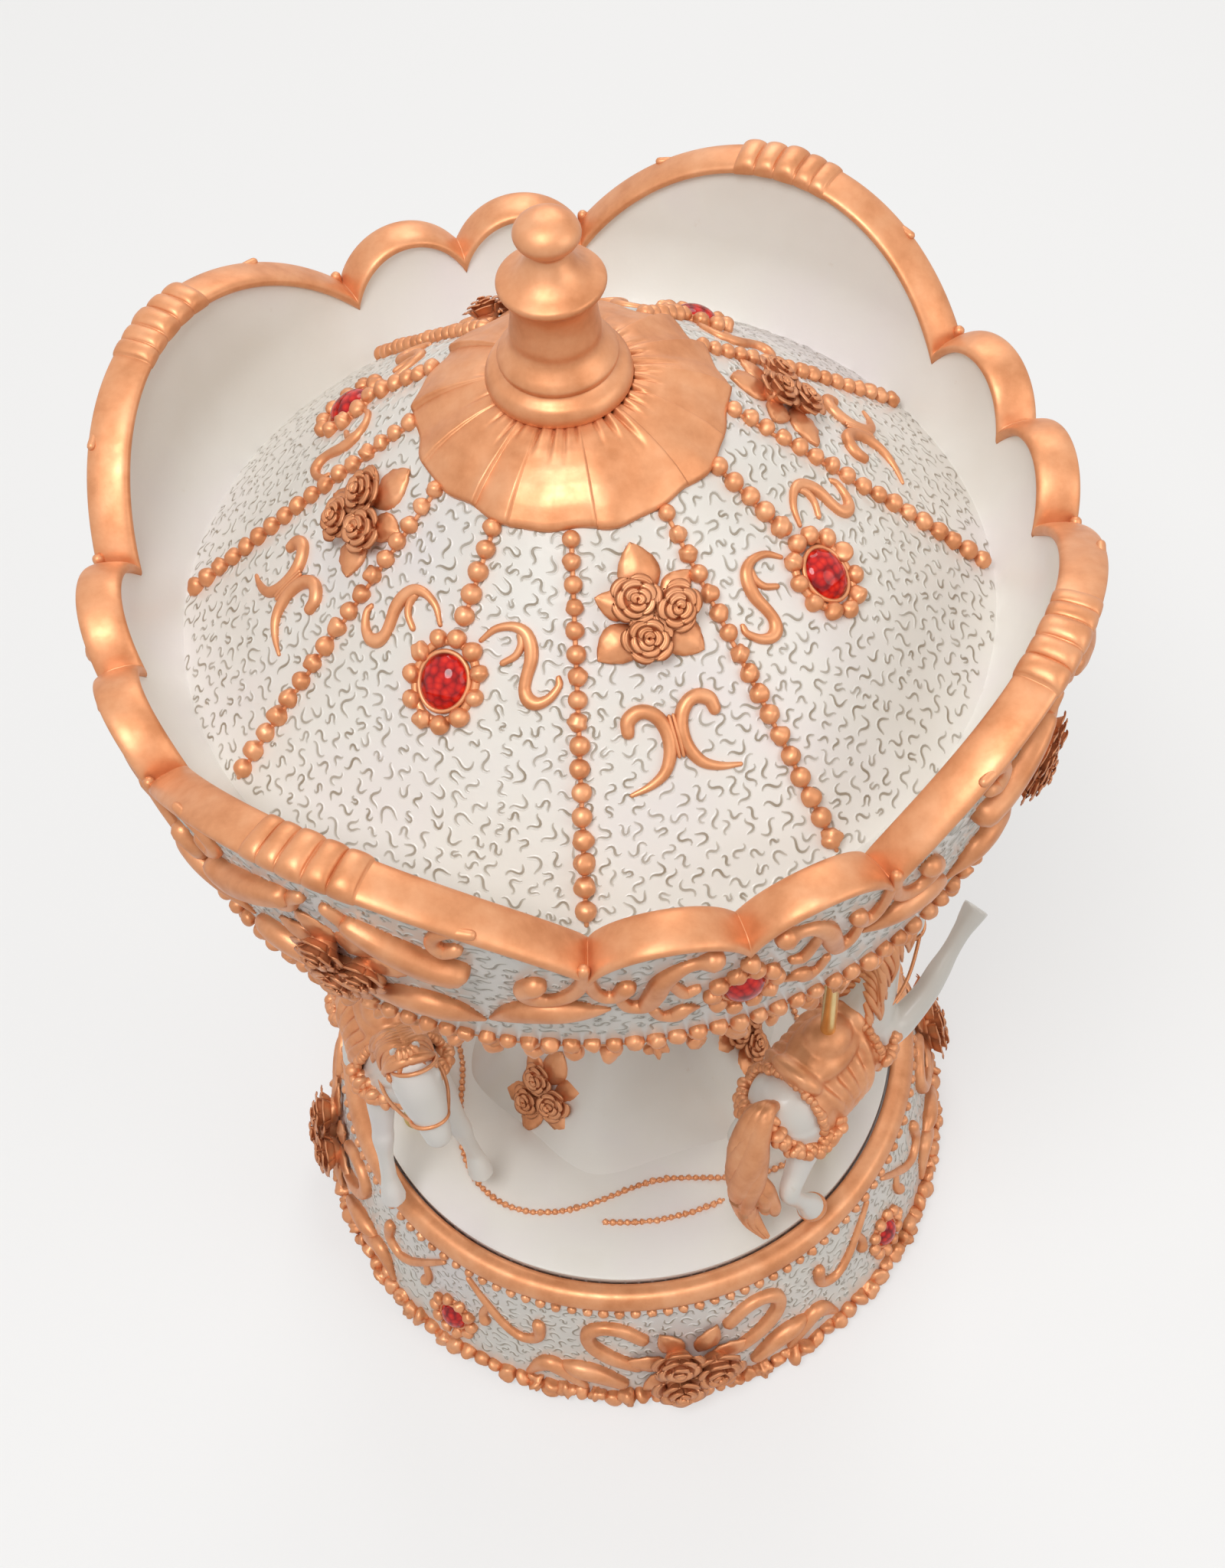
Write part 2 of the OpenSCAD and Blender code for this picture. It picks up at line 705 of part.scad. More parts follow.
module turntable_beads() {
    color(copper) {
        for (k = [0:border_beads - 1])
            table_bead(base_rose_az + 360 * k / border_beads, border_r(360 * k / border_beads), 1.2);
        for (quarter = [0:3], k = [-5:5])
            table_bead(base_rose_az + 90 * quarter + 3.2 * k, outer_border_r, 1.1);
    }
}

module centre_rod() {
    color(steel)
        translate([0, 0, table_top + 8]) cylinder(r = rod_r, h = rod_top - table_top - 8);
}

// ---- horses ----
// Closed skin through rings; each station is [x, y, z, half width, half height]
module loft(st, sides = 12) {
    n = len(st);
    dir = [for (i = [0:n - 1])
        let (a = st[max(i - 1, 0)], b = st[min(i + 1, n - 1)], d = [b[0] - a[0], 0, b[2] - a[2]])
            d / norm(d)];
    pts = [for (i = [0:n - 1], j = [0:sides - 1])
        let (p = st[i], across = p[3] * cos(360 * j / sides), up = p[4] * sin(360 * j / sides))
            [p[0] - dir[i][2] * up, p[1] + across, p[2] + dir[i][0] * up]];
    polyhedron(pts, skin_faces(n, sides));
}

// Stations of a horse: x forward, y toward the axis, z from the back line
trunk = [
    [-17.4, 0, -6.2, 1.6, 2], [-16.4, 0, -6.3, 4.2, 4.4], [-13.4, 0, -6.5, 6.6, 6.6],
    [-9, 0, -7.1, 7.2, 7.1], [-3, 0, -8, 6.9, 6.9], [2, 0, -7.8, 6.9, 6.8],
    [6.5, 0, -6.2, 6.9, 7.3], [10.6, 0, -1.8, 5.9, 7], [13.5, 0, 4.6, 4.1, 5.8],
    [15.6, 0.4, 10.6, 3.2, 4.9], [17.4, 0.8, 15.6, 2.9, 4.4], [19.6, 1.2, 18.4, 2.6, 3.4],
    [21.6, 1.4, 19.4, 1.5, 1.8]];
head = [
    [18.4, 1.2, 18.8, 1.9, 2.4], [20.2, 1.4, 17.8, 2.9, 4], [22.6, 1.7, 14.2, 3.1, 4.2],
    [24.6, 2, 10.2, 2.6, 3.2], [26.2, 2.3, 6.4, 2.1, 2.5], [27.4, 2.5, 3.4, 2.1, 2.4],
    [28.2, 2.6, 1.2, 1.9, 1.9], [28.5, 2.6, 0.2, 0.9, 0.9]];
leg_fore_out = [
    [8, -4.2, -5, 3.4, 4.4], [10.5, -5.4, -11, 2.9, 3.3], [12.6, -6.6, -18, 2.2, 2.4],
    [14.8, -7.8, -26, 1.6, 1.8], [16.2, -8.4, -32, 1.6, 1.8], [17.4, -8.7, -36, 2.2, 2.4],
    [18, -8.8, -39, 2.6, 2.8]];
leg_fore_in = [
    [8, 4.2, -5, 3.4, 4.4], [11.6, 5.4, -10.6, 2.9, 3.3], [15.6, 6.6, -17, 2.2, 2.4],
    [17.4, 7.8, -25, 1.6, 1.8], [17.8, 8.4, -30, 1.6, 1.8], [19, 8.7, -33.8, 2.2, 2.4],
    [19.8, 8.8, -36.6, 2.6, 2.8]];
leg_fore_raised = [
    [8, -4.2, -5, 3.4, 4.4], [14, -5.6, -6.4, 3, 3.4], [20.4, -6.6, -3.2, 2.4, 2.7],
    [24.6, -6.6, 0.2, 2.2, 2.5], [28.6, -6.4, 3.2, 1.7, 1.9], [32, -6.2, 5.6, 1.8, 2],
    [34, -6.1, 6.8, 2.2, 2.4], [36.4, -6, 8.2, 2.6, 2.8]];
leg_hind_out = [
    [-10.5, -4, -7, 3.8, 6], [-11.5, -5.2, -13.5, 3.4, 4.6], [-15.5, -6.4, -19, 2.4, 2.9],
    [-18.6, -7.2, -23, 2, 2.3], [-17.2, -7.8, -28, 1.6, 1.8], [-15.6, -8.2, -32, 1.6, 1.8],
    [-14.2, -8.5, -35.6, 2.2, 2.4], [-13.2, -8.6, -38.4, 2.6, 2.8]];
leg_hind_in = [for (s = leg_hind_out) [s[0] + 2.4, -s[1], s[2] + 0.6, s[3], s[4]]];
mane = [
    [6.2, 0, 4.4, 0.8, 1], [7.8, 0, 7.2, 1.7, 2.4], [10.6, 0.3, 12.4, 1.9, 2.8],
    [13.2, 0.7, 17.8, 1.8, 2.6], [16.4, 1.1, 21, 1.5, 2], [18.6, 1.3, 21.9, 0.7, 0.9]];
tail = [
    [-14.6, 0, -2.4, 1.2, 1.4], [-18.4, 0.2, -1.6, 2, 2.2], [-21.4, 0, -6.6, 2.8, 2.6],
    [-23.4, -0.8, -14, 3, 2.8], [-24.2, -1.6, -22, 3, 2.8], [-25.4, -2.6, -29, 2.4, 2.2],
    [-28.4, -3.4, -34.5, 0.9, 0.9]];

saddle_cloth = [[-10, 0, -7.1, 8, 8], [-3, 0, -8, 7.8, 7.8], [2, 0, -7.8, 7.8, 7.7], [6, 0, -6.4, 7.8, 8.2]];
noseband = [[25.4, 2.15, 8.3, 3, 3.6], [26, 2.3, 6.9, 2.8, 3.3]];
headband = [[21.7, 1.6, 15.6, 3.8, 4.9], [22.4, 1.7, 14.5, 3.8, 4.9]];

// Puts children on horse k's pole, x forward, y toward the axis, z from the back line
module at_horse(k) {
    rotate([0, 0, horse_az + 360 / horse_count * k])
        translate([pole_circle_r, 0, table_top + saddle_h]) rotate([0, 0, 90 - horse_yaw]) children();
}

// Hole for a horse's pole, through its body
module pole_hole() {
    translate([0, 0, -20]) cylinder(r = pole_r + 0.06, h = 30, $fn = 32);
}

// Body, head, ears and legs; the first horse raises its outer foreleg
module horse_form(k) {
    loft(trunk);
    loft(head);
    for (s = [-1, 1]) translate([20.8, 1.4 + 1.5 * s, 19.6]) cylinder(r1 = 1, r2 = 0.2, h = 4, $fn = 8);
    for (leg = [leg_fore_in, k == 0 ? leg_fore_raised : leg_fore_out, leg_hind_in, leg_hind_out])
        loft(leg, 8);
}

module horse(k) {
    color(pearl)
        at_horse(k)
            difference() {
                horse_form(k);
                pole_hole();
            }
}

// Roll across the saddle at x and z, of radius r and width w
module saddle_roll(x, z, r, w) {
    translate([x, 0, z]) rotate([90, 0, 0]) cylinder(r = r, h = w, center = true, $fn = 16);
}

// Saddle cloth and saddle, noseband and headband
module tack(k) {
    color(copper)
        at_horse(k)
            difference() {
                union() {
                    loft(saddle_cloth, 14);
                    saddle_roll(-6.4, -0.6, 2.2, 8);
                    saddle_roll(3.6, 0.4, 1.6, 5);
                    loft(noseband);
                    loft(headband);
                }
                horse_form(k);
                pole_hole();
            }
}

module mane_and_tail(k) {
    color(copper)
        at_horse(k)
            difference() {
                union() {
                    loft(mane, 8);
                    loft(tail, 8);
                }
                horse_form(k);
            }
}

module horse_poles() {
    color(brass)
        for (k = [0:horse_count - 1])
            rotate([0, 0, horse_az + 360 / horse_count * k])
                translate([pole_circle_r, 0, table_z + 1]) cylinder(r = pole_r, h = ceiling_z - table_z);
}

// ---- canopy ----
module ceiling() {
    color(pearl)
        difference() {
            translate([0, 0, ceiling_z]) cylinder(r = roof_r - running_gap, h = ceiling_t, $fn = 96);
            translate([0, 0, ceiling_z - 1]) cylinder(r = rod_r, h = ceiling_t + 2);
            for (k = [0:horse_count - 1])
                rotate([0, 0, horse_az + 360 / horse_count * k])
                    translate([pole_circle_r, 0, ceiling_z - 1]) cylinder(r = pole_r, h = 2);
        }
}

// Rim arches of one quarter: [direction from the double arch's middle, half width, peak, steps]
arches = [
    [-notch_az / 2, notch_az / 2, small_arch_z, 5],
    [notch_az / 2, notch_az / 2, small_arch_z, 5],
    [seg, big_half, big_arch_z, 14]];

// Radius of an arch
function arch_r(arch) = arch_radius(rim_r * sin(arch[1]), arch[2] - notch_z);
// Rim height on an arch at angle d from its middle
function arch_top(arch, d) =
    arch[2] - arch_r(arch) + sqrt(pow(arch_r(arch), 2) - pow(rim_r * sin(d), 2));
// Underside of the rim band there: the band keeps its thickness across its slope
function arch_under(arch, d) =
    arch_top(arch, d) - band_t / sqrt(1 - pow(rim_r * sin(d) / arch_r(arch), 2));

// Stations round the rim: [azimuth, rim height, height of the band's underside]
rim_stations = [
    for (k = [0:3], arch = arches, i = [0:arch[3] - 1])
        let (d = arch[1] * (2 * i / arch[3] - 1))
            [crown_az + 90 * k + arch[0] + d, arch_top(arch, d), arch_under(arch, d)]];

// Radius of the crown's inner face at height z: it curves in to meet the roof
function crown_in(z) =
    let (wall_low = crown_r_at(roof_z) - roof_r, u = max(0, (notch_z + 1 - z) / (notch_z + 1 - roof_z)))
        crown_r_at(z) - crown_wall_t - (wall_low - crown_wall_t) * u * u;

// Closed ring through one section [r, z] list per station; flip turns the diagonals of its
// faces, so that two rings that meet face to face share them
module ring_sweep(sections, flip = false) {
    n = len(sections);
    m = len(sections[0]);
    pts = [for (i = [0:n - 1], p = sections[i])
        [p[0] * cos(rim_stations[i][0]), p[0] * sin(rim_stations[i][0]), p[1]]];
    polyhedron(pts, [
        for (i = [0:n - 1], j = [0:m - 1], half = [0, 1])
            let (next = (j + 1) % m, ahead = (i + 1) % n * m)
            let (a = i * m + j, b = i * m + next, c = ahead + next, d = ahead + j)
                flip ? (half == 0 ? [a, b, d] : [b, c, d]) : (half == 0 ? [a, b, c] : [a, c, d])]);
}

module crown_wall() {
    color(pearl)
        ring_sweep([for (st = rim_stations) concat(
            [[roof_r, crown_z], [crown_r, crown_z], [crown_r_at(st[2]), st[2]]],
            [for (f = [1, 0.66, 0.38, 0.18]) let (z = roof_z + (st[2] - roof_z) * f) [crown_in(z), z]],
            [[roof_r, roof_z]])]);
}

module crown_rim() {
    g = band_proud;
    boss_ribs = 2;
    color(copper) {
        ring_sweep(flip = true, sections = [for (st = rim_stations)
            let (lo = st[2], hi = st[1], in_lo = crown_in(lo), in_hi = crown_in(hi))
                [[in_lo - g, lo], [in_lo, lo], [crown_r_at(lo), lo], [crown_r_at(lo) + g, lo],
                 [crown_r_at(hi) + g, hi - 0.6], [crown_r_at(hi) - 0.5, hi],
                 [in_hi + 0.5, hi], [in_hi - g, hi - 0.6]]]);
        for (k = [0:3], j = [-boss_ribs:boss_ribs])
            rotate([0, 0, crown_az + seg + 90 * k])
                translate([crown_in(big_arch_z) - g - 0.3, 3.1 * j, big_arch_z - 0.13 * j * j])
                    rotate([0, 90, 0])
                        cylinder(r = j == 0 ? 2 : 1.7, h = crown_wall_t + 2 * g + 0.6, $fn = 16);
    }
}

crown_rose_z = crown_z + 16.5;
crown_gem_z = crown_z + 13;

module crown_scrolls() {
    color(copper)
        for (k = [0:3], side = [-1, 1]) {
            middle = crown_az + 90 * k;
            turn = side > 0 ? 0 : 180;
            on_crown(middle + side * (notch_az - 2.3), notch_z - 7)
                rotate([0, 0, turn]) scroll_arc(1.7, 0.9, -160, 110);
            on_crown(middle + side * (notch_az + 2.6), notch_z - 7)
                rotate([0, 0, 180 - turn]) scroll_arc(1.9, 0.9, -110, 160);
            on_crown(middle + side * 10, crown_gem_z + 1.5)
                rotate([0, 0, turn]) scroll_arc(3.4, 0.9, -90, 120);
        }
}

module crown_roses() {
    color(copper)
        for (k = [0:3])
            on_crown(crown_az + seg + 90 * k, crown_rose_z) rose_cluster(5);
}

module crown_gem_settings() {
    color(copper)
        for (k = [0:3])
            on_crown(crown_az + 90 * k, crown_gem_z) gem_setting(4, 3, 1.2, 1.5, 11);
}

module crown_gems() {
    color(ruby)
        for (k = [0:3])
            on_crown(crown_az + 90 * k, crown_gem_z) gem(4, 3, 1.2);
}

module bead_fringe() {
    color(copper)
        for (k = [0:71])
            rotate([0, 0, 5 * k]) {
                translate([crown_r - 1.6, 0, crown_z - 1.5]) sphere(1.5);
                translate([crown_r - 1.2, 0, crown_z - 3.8]) sphere(1.45);
                rotate([0, 0, 2.5]) translate([crown_r - 1.6, 0, crown_z - 1.3]) sphere(1.3);
            }
}

roof_in = cap_r - 1.7;
module roof() {
    steps = 6;
    outer = roof_r - running_gap;
    rs = [for (i = [0:steps]) outer + (roof_in - outer) * i / steps];
    color(pearl)
        rotate_extrude($fn = 96)
            polygon(concat(
                [for (r = rs) [r, roof_h(r)]],
                [[3.2, roof_h(roof_in)], [3.2, roof_h(roof_in) - roof_t]],
                [for (i = [steps:-1:0]) [rs[i], roof_h(rs[i]) - roof_t * 1.2]]));
}

// Bead string on the roof from radius ra out to rb
module bead_rib(az, ra, rb) {
    n = round((rb - ra) * 1.33 / 2.45);
    for (i = [0:n])
        on_roof(az, ra + (rb - ra) * i / n) ball(1.0 + 0.4 * i / n * (rb - ra) / 40, 0.3);
}

// Long strings either side of each double arch, and a short one above each roof stone
module roof_bead_ribs() {
    color(copper)
        for (k = [0:3]) {
            bead_rib(crown_az + 90 * k - 17.3, cap_r + 1.3, roof_r - 1.5);
            bead_rib(crown_az + 90 * k + 17.3, cap_r + 1.3, roof_r - 1.5);
            bead_rib(crown_az + seg + 90 * k, cap_r + 1.3, roof_gem_r - 6.6);
        }
}
roof_gem_r = cap_r + 16.9;
roof_rose_r = cap_r + 9.6;

module roof_roses() {
    color(copper)
        for (k = [0:3])
            on_roof(crown_az + 90 * k, roof_rose_r) rose_cluster(2.8);
}

// A pair of scrolls beside each roof stone and a pair below each rose cluster
module roof_scrolls() {
    color(copper)
        for (k = [0:3], side = [-1, 1]) {
            on_roof(crown_az + seg + 90 * k + side * 16, roof_gem_r)
                rotate([0, 0, side > 0 ? 0 : 180]) scroll_arc(3.4, 0.8, -130, 80);
            on_roof(crown_az + 90 * k + side * 4.2, roof_rose_r + 12.7)
                rotate([0, 0, side > 0 ? 180 : 0]) scroll_arc(2.8, 0.8, -80, 120);
        }
}

module roof_gem_settings() {
    color(copper)
        for (k = [0:3])
            on_roof(crown_az + seg + 90 * k, roof_gem_r) gem_setting(4, 3, 1, 1.4, 11);
}

module roof_gems() {
    color(ruby)
        for (k = [0:3])
            on_roof(crown_az + seg + 90 * k, roof_gem_r) gem(4, 3, 1);
}

// Pleated cap, bell, spool and knob: the profile's heights count from the roof's top
module finial() {
    z0 = roof_h(roof_in);
    knob_z = z0 + 29.6;
    knob_r = 4.3;
    color(copper)
        rotate_extrude($fn = 64)
            polygon(concat(
                [[rod_r + 0.05, z0], [roof_in, z0], [cap_r, roof_h(cap_r)], [cap_r, z0 + 0.6],
                 [9.7, z0 + 6.4], [8, z0 + 10], [6, z0 + 13.5], [5.7, z0 + 17.5],
                 [7, z0 + 21.6], [7, z0 + 22.4], [2.9, z0 + 26]],
                [for (a = [-45:15:75]) [knob_r * cos(a), knob_z + 2.7 * sin(a)]],
                [[0, knob_z + 2.7], [0, rod_top + 3], [rod_r + 0.05, rod_top + 3]]));
}

felt_ring();
base_casting();
base_ring();
base_bead_row();
base_foot_beads();
base_scrolls();
base_roses();
base_gem_settings();
base_gems();
bottom_cover();
cover_screws();
bedplate();
bedplate_screws();
comb();
comb_screws();
ratchet_click();
governor_bracket();
deck_bush();
thrust_washer();
winding_key();
winding_arbor();
ratchet_wheel();
spring_barrel();
barrel_cover();
mainspring();
drive_shaft();
pinned_cylinder();
cylinder_arbor();
governor_wheel();
governor_fly();
turntable();
turntable_beads();
column();
column_roses();
centre_rod();
horse(0);  // horse_1
horse(1);  // horse_2
horse(2);  // horse_3
tack(0);  // tack_1
tack(1);  // tack_2
tack(2);  // tack_3
mane_and_tail(0);  // mane_and_tail_1
mane_and_tail(1);  // mane_and_tail_2
mane_and_tail(2);  // mane_and_tail_3
horse_poles();
ceiling();
crown_wall();
crown_rim();
crown_scrolls();
crown_roses();
crown_gem_settings();
crown_gems();
bead_fringe();
roof();
roof_bead_ribs();
roof_scrolls();
roof_roses();
roof_gem_settings();
roof_gems();
finial();
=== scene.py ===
"""Carousel music box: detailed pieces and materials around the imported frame.

Lengths are in millimetres until a mesh is made, and angles are in degrees.
"""
import json
import math

import bpy
import numpy as np
from mathutils import Matrix, Vector


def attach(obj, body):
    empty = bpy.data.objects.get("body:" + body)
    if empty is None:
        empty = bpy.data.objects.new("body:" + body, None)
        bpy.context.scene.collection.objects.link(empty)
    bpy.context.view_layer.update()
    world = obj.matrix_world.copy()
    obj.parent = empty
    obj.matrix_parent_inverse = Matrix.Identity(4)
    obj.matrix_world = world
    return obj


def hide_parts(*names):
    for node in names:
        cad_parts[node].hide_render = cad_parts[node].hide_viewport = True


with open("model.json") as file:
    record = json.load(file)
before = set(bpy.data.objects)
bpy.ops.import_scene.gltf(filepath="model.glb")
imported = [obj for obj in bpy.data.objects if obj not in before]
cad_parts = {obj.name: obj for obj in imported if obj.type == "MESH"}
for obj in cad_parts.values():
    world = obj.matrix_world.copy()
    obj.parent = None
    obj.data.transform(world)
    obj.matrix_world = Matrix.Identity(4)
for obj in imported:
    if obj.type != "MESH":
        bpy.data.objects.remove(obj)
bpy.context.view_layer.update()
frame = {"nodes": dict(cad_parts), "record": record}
MM = 0.001
RNG = np.random.default_rng(7)
TURN = 2 * np.pi

# ---- sizes shared with the frame ----
FOOT_R = 66.4
BASE_TOP_R = 59.2
BASE_H = 34.0
FELT_T = 1.0
BASE_ROSE_AZ = -84.0
TABLE_R = 54.6
TABLE_TOP = 37.2
TABLE_T = 3.0
COLUMN_FOOT_R = 33.4
COLUMN_WAIST_R = 10.0
COLUMN_HEAD_R = 19.0
COLUMN_WAIST_U = 0.45
COLUMN_PANELS = 6
COLUMN_FLUTING = 0.1
COLUMN_ROSE_U = 0.054
POLE_CIRCLE_R = 47.0
POLE_R = 1.4
HORSE_AZ = -40.0
HORSE_YAW = 6.0
SADDLE_H = 45.0
CROWN_Z = 161.5
CROWN_R = 66.8
CROWN_FLARE = 0.14
CROWN_WALL_T = 4.2
CROWN_AZ = -76.6
ROOF_R = 60.5
ROOF_Z = 180.3
ROOF_IN = 19.0
BAY = 90.0
HALF_BAY = BAY / 2
BIG_ARCH_Z = 206.4
SMALL_ARCH_Z = 195.8
NOTCH_Z = 190.0
NOTCH_AZ = 16.8
LONG_RIB_AZ = 17.3
BAND_T = 2.2
BAND_PROUD = 1.1
CAP_R = 20.7
CEILING_Z = CROWN_Z + 1.5
RIM_R = CROWN_R + CROWN_FLARE * (NOTCH_Z - CROWN_Z)
BIG_HALF = HALF_BAY - NOTCH_AZ


def roof_height(r):
    return ROOF_Z + (ROOF_R - r) * 0.955 - (ROOF_R - r) ** 2 * 0.0014


def crown_radius(z):
    return CROWN_R + CROWN_FLARE * (z - CROWN_Z)


def crown_inside(z):
    """Inner radius of the wall, which thickens toward the roof's edge."""
    full = crown_radius(ROOF_Z) - ROOF_R
    u = np.maximum(0, (NOTCH_Z + 1 - z) / (NOTCH_Z + 1 - ROOF_Z))
    return crown_radius(z) - CROWN_WALL_T - (full - CROWN_WALL_T) * u * u


# ---- mesh tools: a part is a tuple of vertices, quads and triangles, its front up from z = 0 ----
class Shape:
    """Vertices and faces that become one mesh object; groove marks dark lines in the engraving, an antique
    wash and painted shade in the grooves.
    """

    def __init__(self):
        self.verts = []
        self.quads = []
        self.tris = []
        self.groove = []
        self.count = 0

    def add(self, verts, quads=None, tris=None, groove=None):
        verts = np.asarray(verts, float).reshape(-1, 3)
        self.verts.append(verts)
        if quads is not None and len(quads):
            self.quads.append(np.asarray(quads, int) + self.count)
        if tris is not None and len(tris):
            self.tris.append(np.asarray(tris, int) + self.count)
        self.groove.append(np.zeros(len(verts)) if groove is None else np.asarray(groove, float))
        self.count += len(verts)
        return self

    def place(self, part, mover):
        """Adds a part with its vertices moved by mover."""
        verts, quads, tris = part
        return self.add(mover(verts), quads, tris)

    def part(self):
        """All that was added, as one part."""
        quads = np.concatenate(self.quads) if self.quads else np.zeros((0, 4), int)
        tris = np.concatenate(self.tris) if self.tris else np.zeros((0, 3), int)
        return np.concatenate(self.verts), quads, tris

    def make(self, name, body, slot, *replaces):
        """Makes the object, gives it its slot's material, and lets it ride on its body."""
        verts, quads, tris = self.part()
        mesh = bpy.data.meshes.new(name)
        mesh.vertices.add(len(verts))
        mesh.vertices.foreach_set("co", (verts * MM).ravel())
        mesh.loops.add(quads.size + tris.size)
        corners = np.concatenate([quads.ravel(), tris.ravel()]).astype(np.int32)
        mesh.loops.foreach_set("vertex_index", corners)
        mesh.polygons.add(len(quads) + len(tris))
        starts = np.concatenate([np.arange(len(quads)) * 4, quads.size + np.arange(len(tris)) * 3])
        mesh.polygons.foreach_set("loop_start", starts.astype(np.int32))
        mesh.polygons.foreach_set("use_smooth", np.full(len(starts), True))
        mesh.update(calc_edges=True)
        layer = mesh.attributes.new("groove", "FLOAT", "POINT")
        layer.data.foreach_set("value", np.concatenate(self.groove).astype(np.float32))
        mesh.materials.append(MATERIALS[slot])
        obj = bpy.data.objects.new(name, mesh)
        bpy.context.collection.objects.link(obj)
        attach(obj, body)
        if replaces:
            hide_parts(*replaces)


def merge(*parts):
    shape = Shape()
    for part in parts:
        shape.add(*part)
    return shape.part()


def moved(part, x=0.0, y=0.0, z=0.0, turn=0.0, flip=False):
    """Part mirrored in y if flip, turned about z and shifted."""
    v, q, t = part
    if flip:
        v = v * [1, -1, 1]
        q = None if q is None else q[:, ::-1]
        t = None if t is None else t[:, ::-1]
    c = math.cos(math.radians(turn))
    s = math.sin(math.radians(turn))
    return v @ np.array([[c, s, 0], [-s, c, 0], [0, 0, 1]]) + [x, y, z], q, t


def grid(rows, cols, wrap_rows=False, wrap_cols=False):
    """Quads of a rows by cols grid of vertices."""
    down = np.arange(rows if wrap_rows else rows - 1)
    across = np.arange(cols if wrap_cols else cols - 1)
    i, j = np.meshgrid(down, across, indexing="ij")
    i2 = (i + 1) % rows
    j2 = (j + 1) % cols
    return np.stack([i * cols + j, i2 * cols + j, i2 * cols + j2, i * cols + j2], -1).reshape(-1, 4)


def around(steps):
    """Directions round an axis, in radians."""
    return np.linspace(0, TURN, steps, endpoint=False)


def round_axis(a, r, z):
    """Grid of points: one row per direction a in radians, with radii r and heights z."""
    a = a[:, None]
    return np.stack([r * np.cos(a), r * np.sin(a), z + 0 * a], -1)


def rounded(x, power):
    """Cosine or sine of a section that goes from round, at power 1, to square."""
    return np.sign(x) * np.abs(x) ** power


def on_circle(r, az, z=0.0):
    return np.array([r * math.cos(math.radians(az)), r * math.sin(math.radians(az)), z])


def revolve(profile, steps=160):
    """Closed surface of revolution of a list of (r, z) points, from the top down."""
    r, z = np.array(profile, float).T
    verts = round_axis(around(steps), r, z).reshape(-1, 3)
    return verts, grid(steps, len(r), wrap_rows=True)[:, ::-1], None


def icosphere(level):
    t = (1 + 5 ** 0.5) / 2
    v = [(-1, t, 0), (1, t, 0), (-1, -t, 0), (1, -t, 0), (0, -1, t), (0, 1, t),
         (0, -1, -t), (0, 1, -t), (t, 0, -1), (t, 0, 1), (-t, 0, -1), (-t, 0, 1)]
    f = [(0, 11, 5), (0, 5, 1), (0, 1, 7), (0, 7, 10), (0, 10, 11), (1, 5, 9), (5, 11, 4),
         (11, 10, 2), (10, 7, 6), (7, 1, 8), (3, 9, 4), (3, 4, 2), (3, 2, 6), (3, 6, 8),
         (3, 8, 9), (4, 9, 5), (2, 4, 11), (6, 2, 10), (8, 6, 7), (9, 8, 1)]
    v = [np.array(p) / np.linalg.norm(p) for p in v]
    for _ in range(level):
        middle = {}
        finer = []
        for a, b, c in f:
            halves = []
            for p, q in ((a, b), (b, c), (c, a)):
                key = (min(p, q), max(p, q))
                if key not in middle:
                    m = v[p] + v[q]
                    middle[key] = len(v)
                    v.append(m / np.linalg.norm(m))
                halves.append(middle[key])
            d, e, g = halves
            finer += [(a, d, g), (b, e, d), (c, g, e), (d, e, g)]
        f = finer
    return np.array(v), np.array(f)


BALL_V, BALL_F = icosphere(2)
STONE_V, STONE_F = icosphere(4)


def ball(r, lift=0.0, squash=1.0, dents=0.05, at=(0, 0)):
    """Bead over the plane z = 0, its centre lift above it, with slight casting dents."""
    bumps = 1 + dents * RNG.normal(size=3) @ np.sin(BALL_V @ RNG.normal(size=(3, 3)) * 3).T
    verts = BALL_V * r * bumps[:, None]
    verts[:, 2] = verts[:, 2] * squash + lift
    return verts + np.array([at[0], at[1], 0]), None, BALL_F


def blob(x, y, z, rx, ry, rz, turn=0.0):
    """Ellipsoid turned about y."""
    c = math.cos(math.radians(turn))
    s = math.sin(math.radians(turn))
    return BALL_V * [rx, ry, rz] @ np.array([[c, 0, -s], [0, 1, 0], [s, 0, c]]) + [x, y, z], None, BALL_F


def end_fans(rows, sides):
    """Triangles that close the two ends of a tube round two tip vertices added after its rings."""
    tip = rows * sides
    last = tip - sides
    start = [(tip, (k + 1) % sides, k) for k in range(sides)]
    end = [(tip + 1, last + k, last + (k + 1) % sides) for k in range(sides)]
    return np.array(start + end)


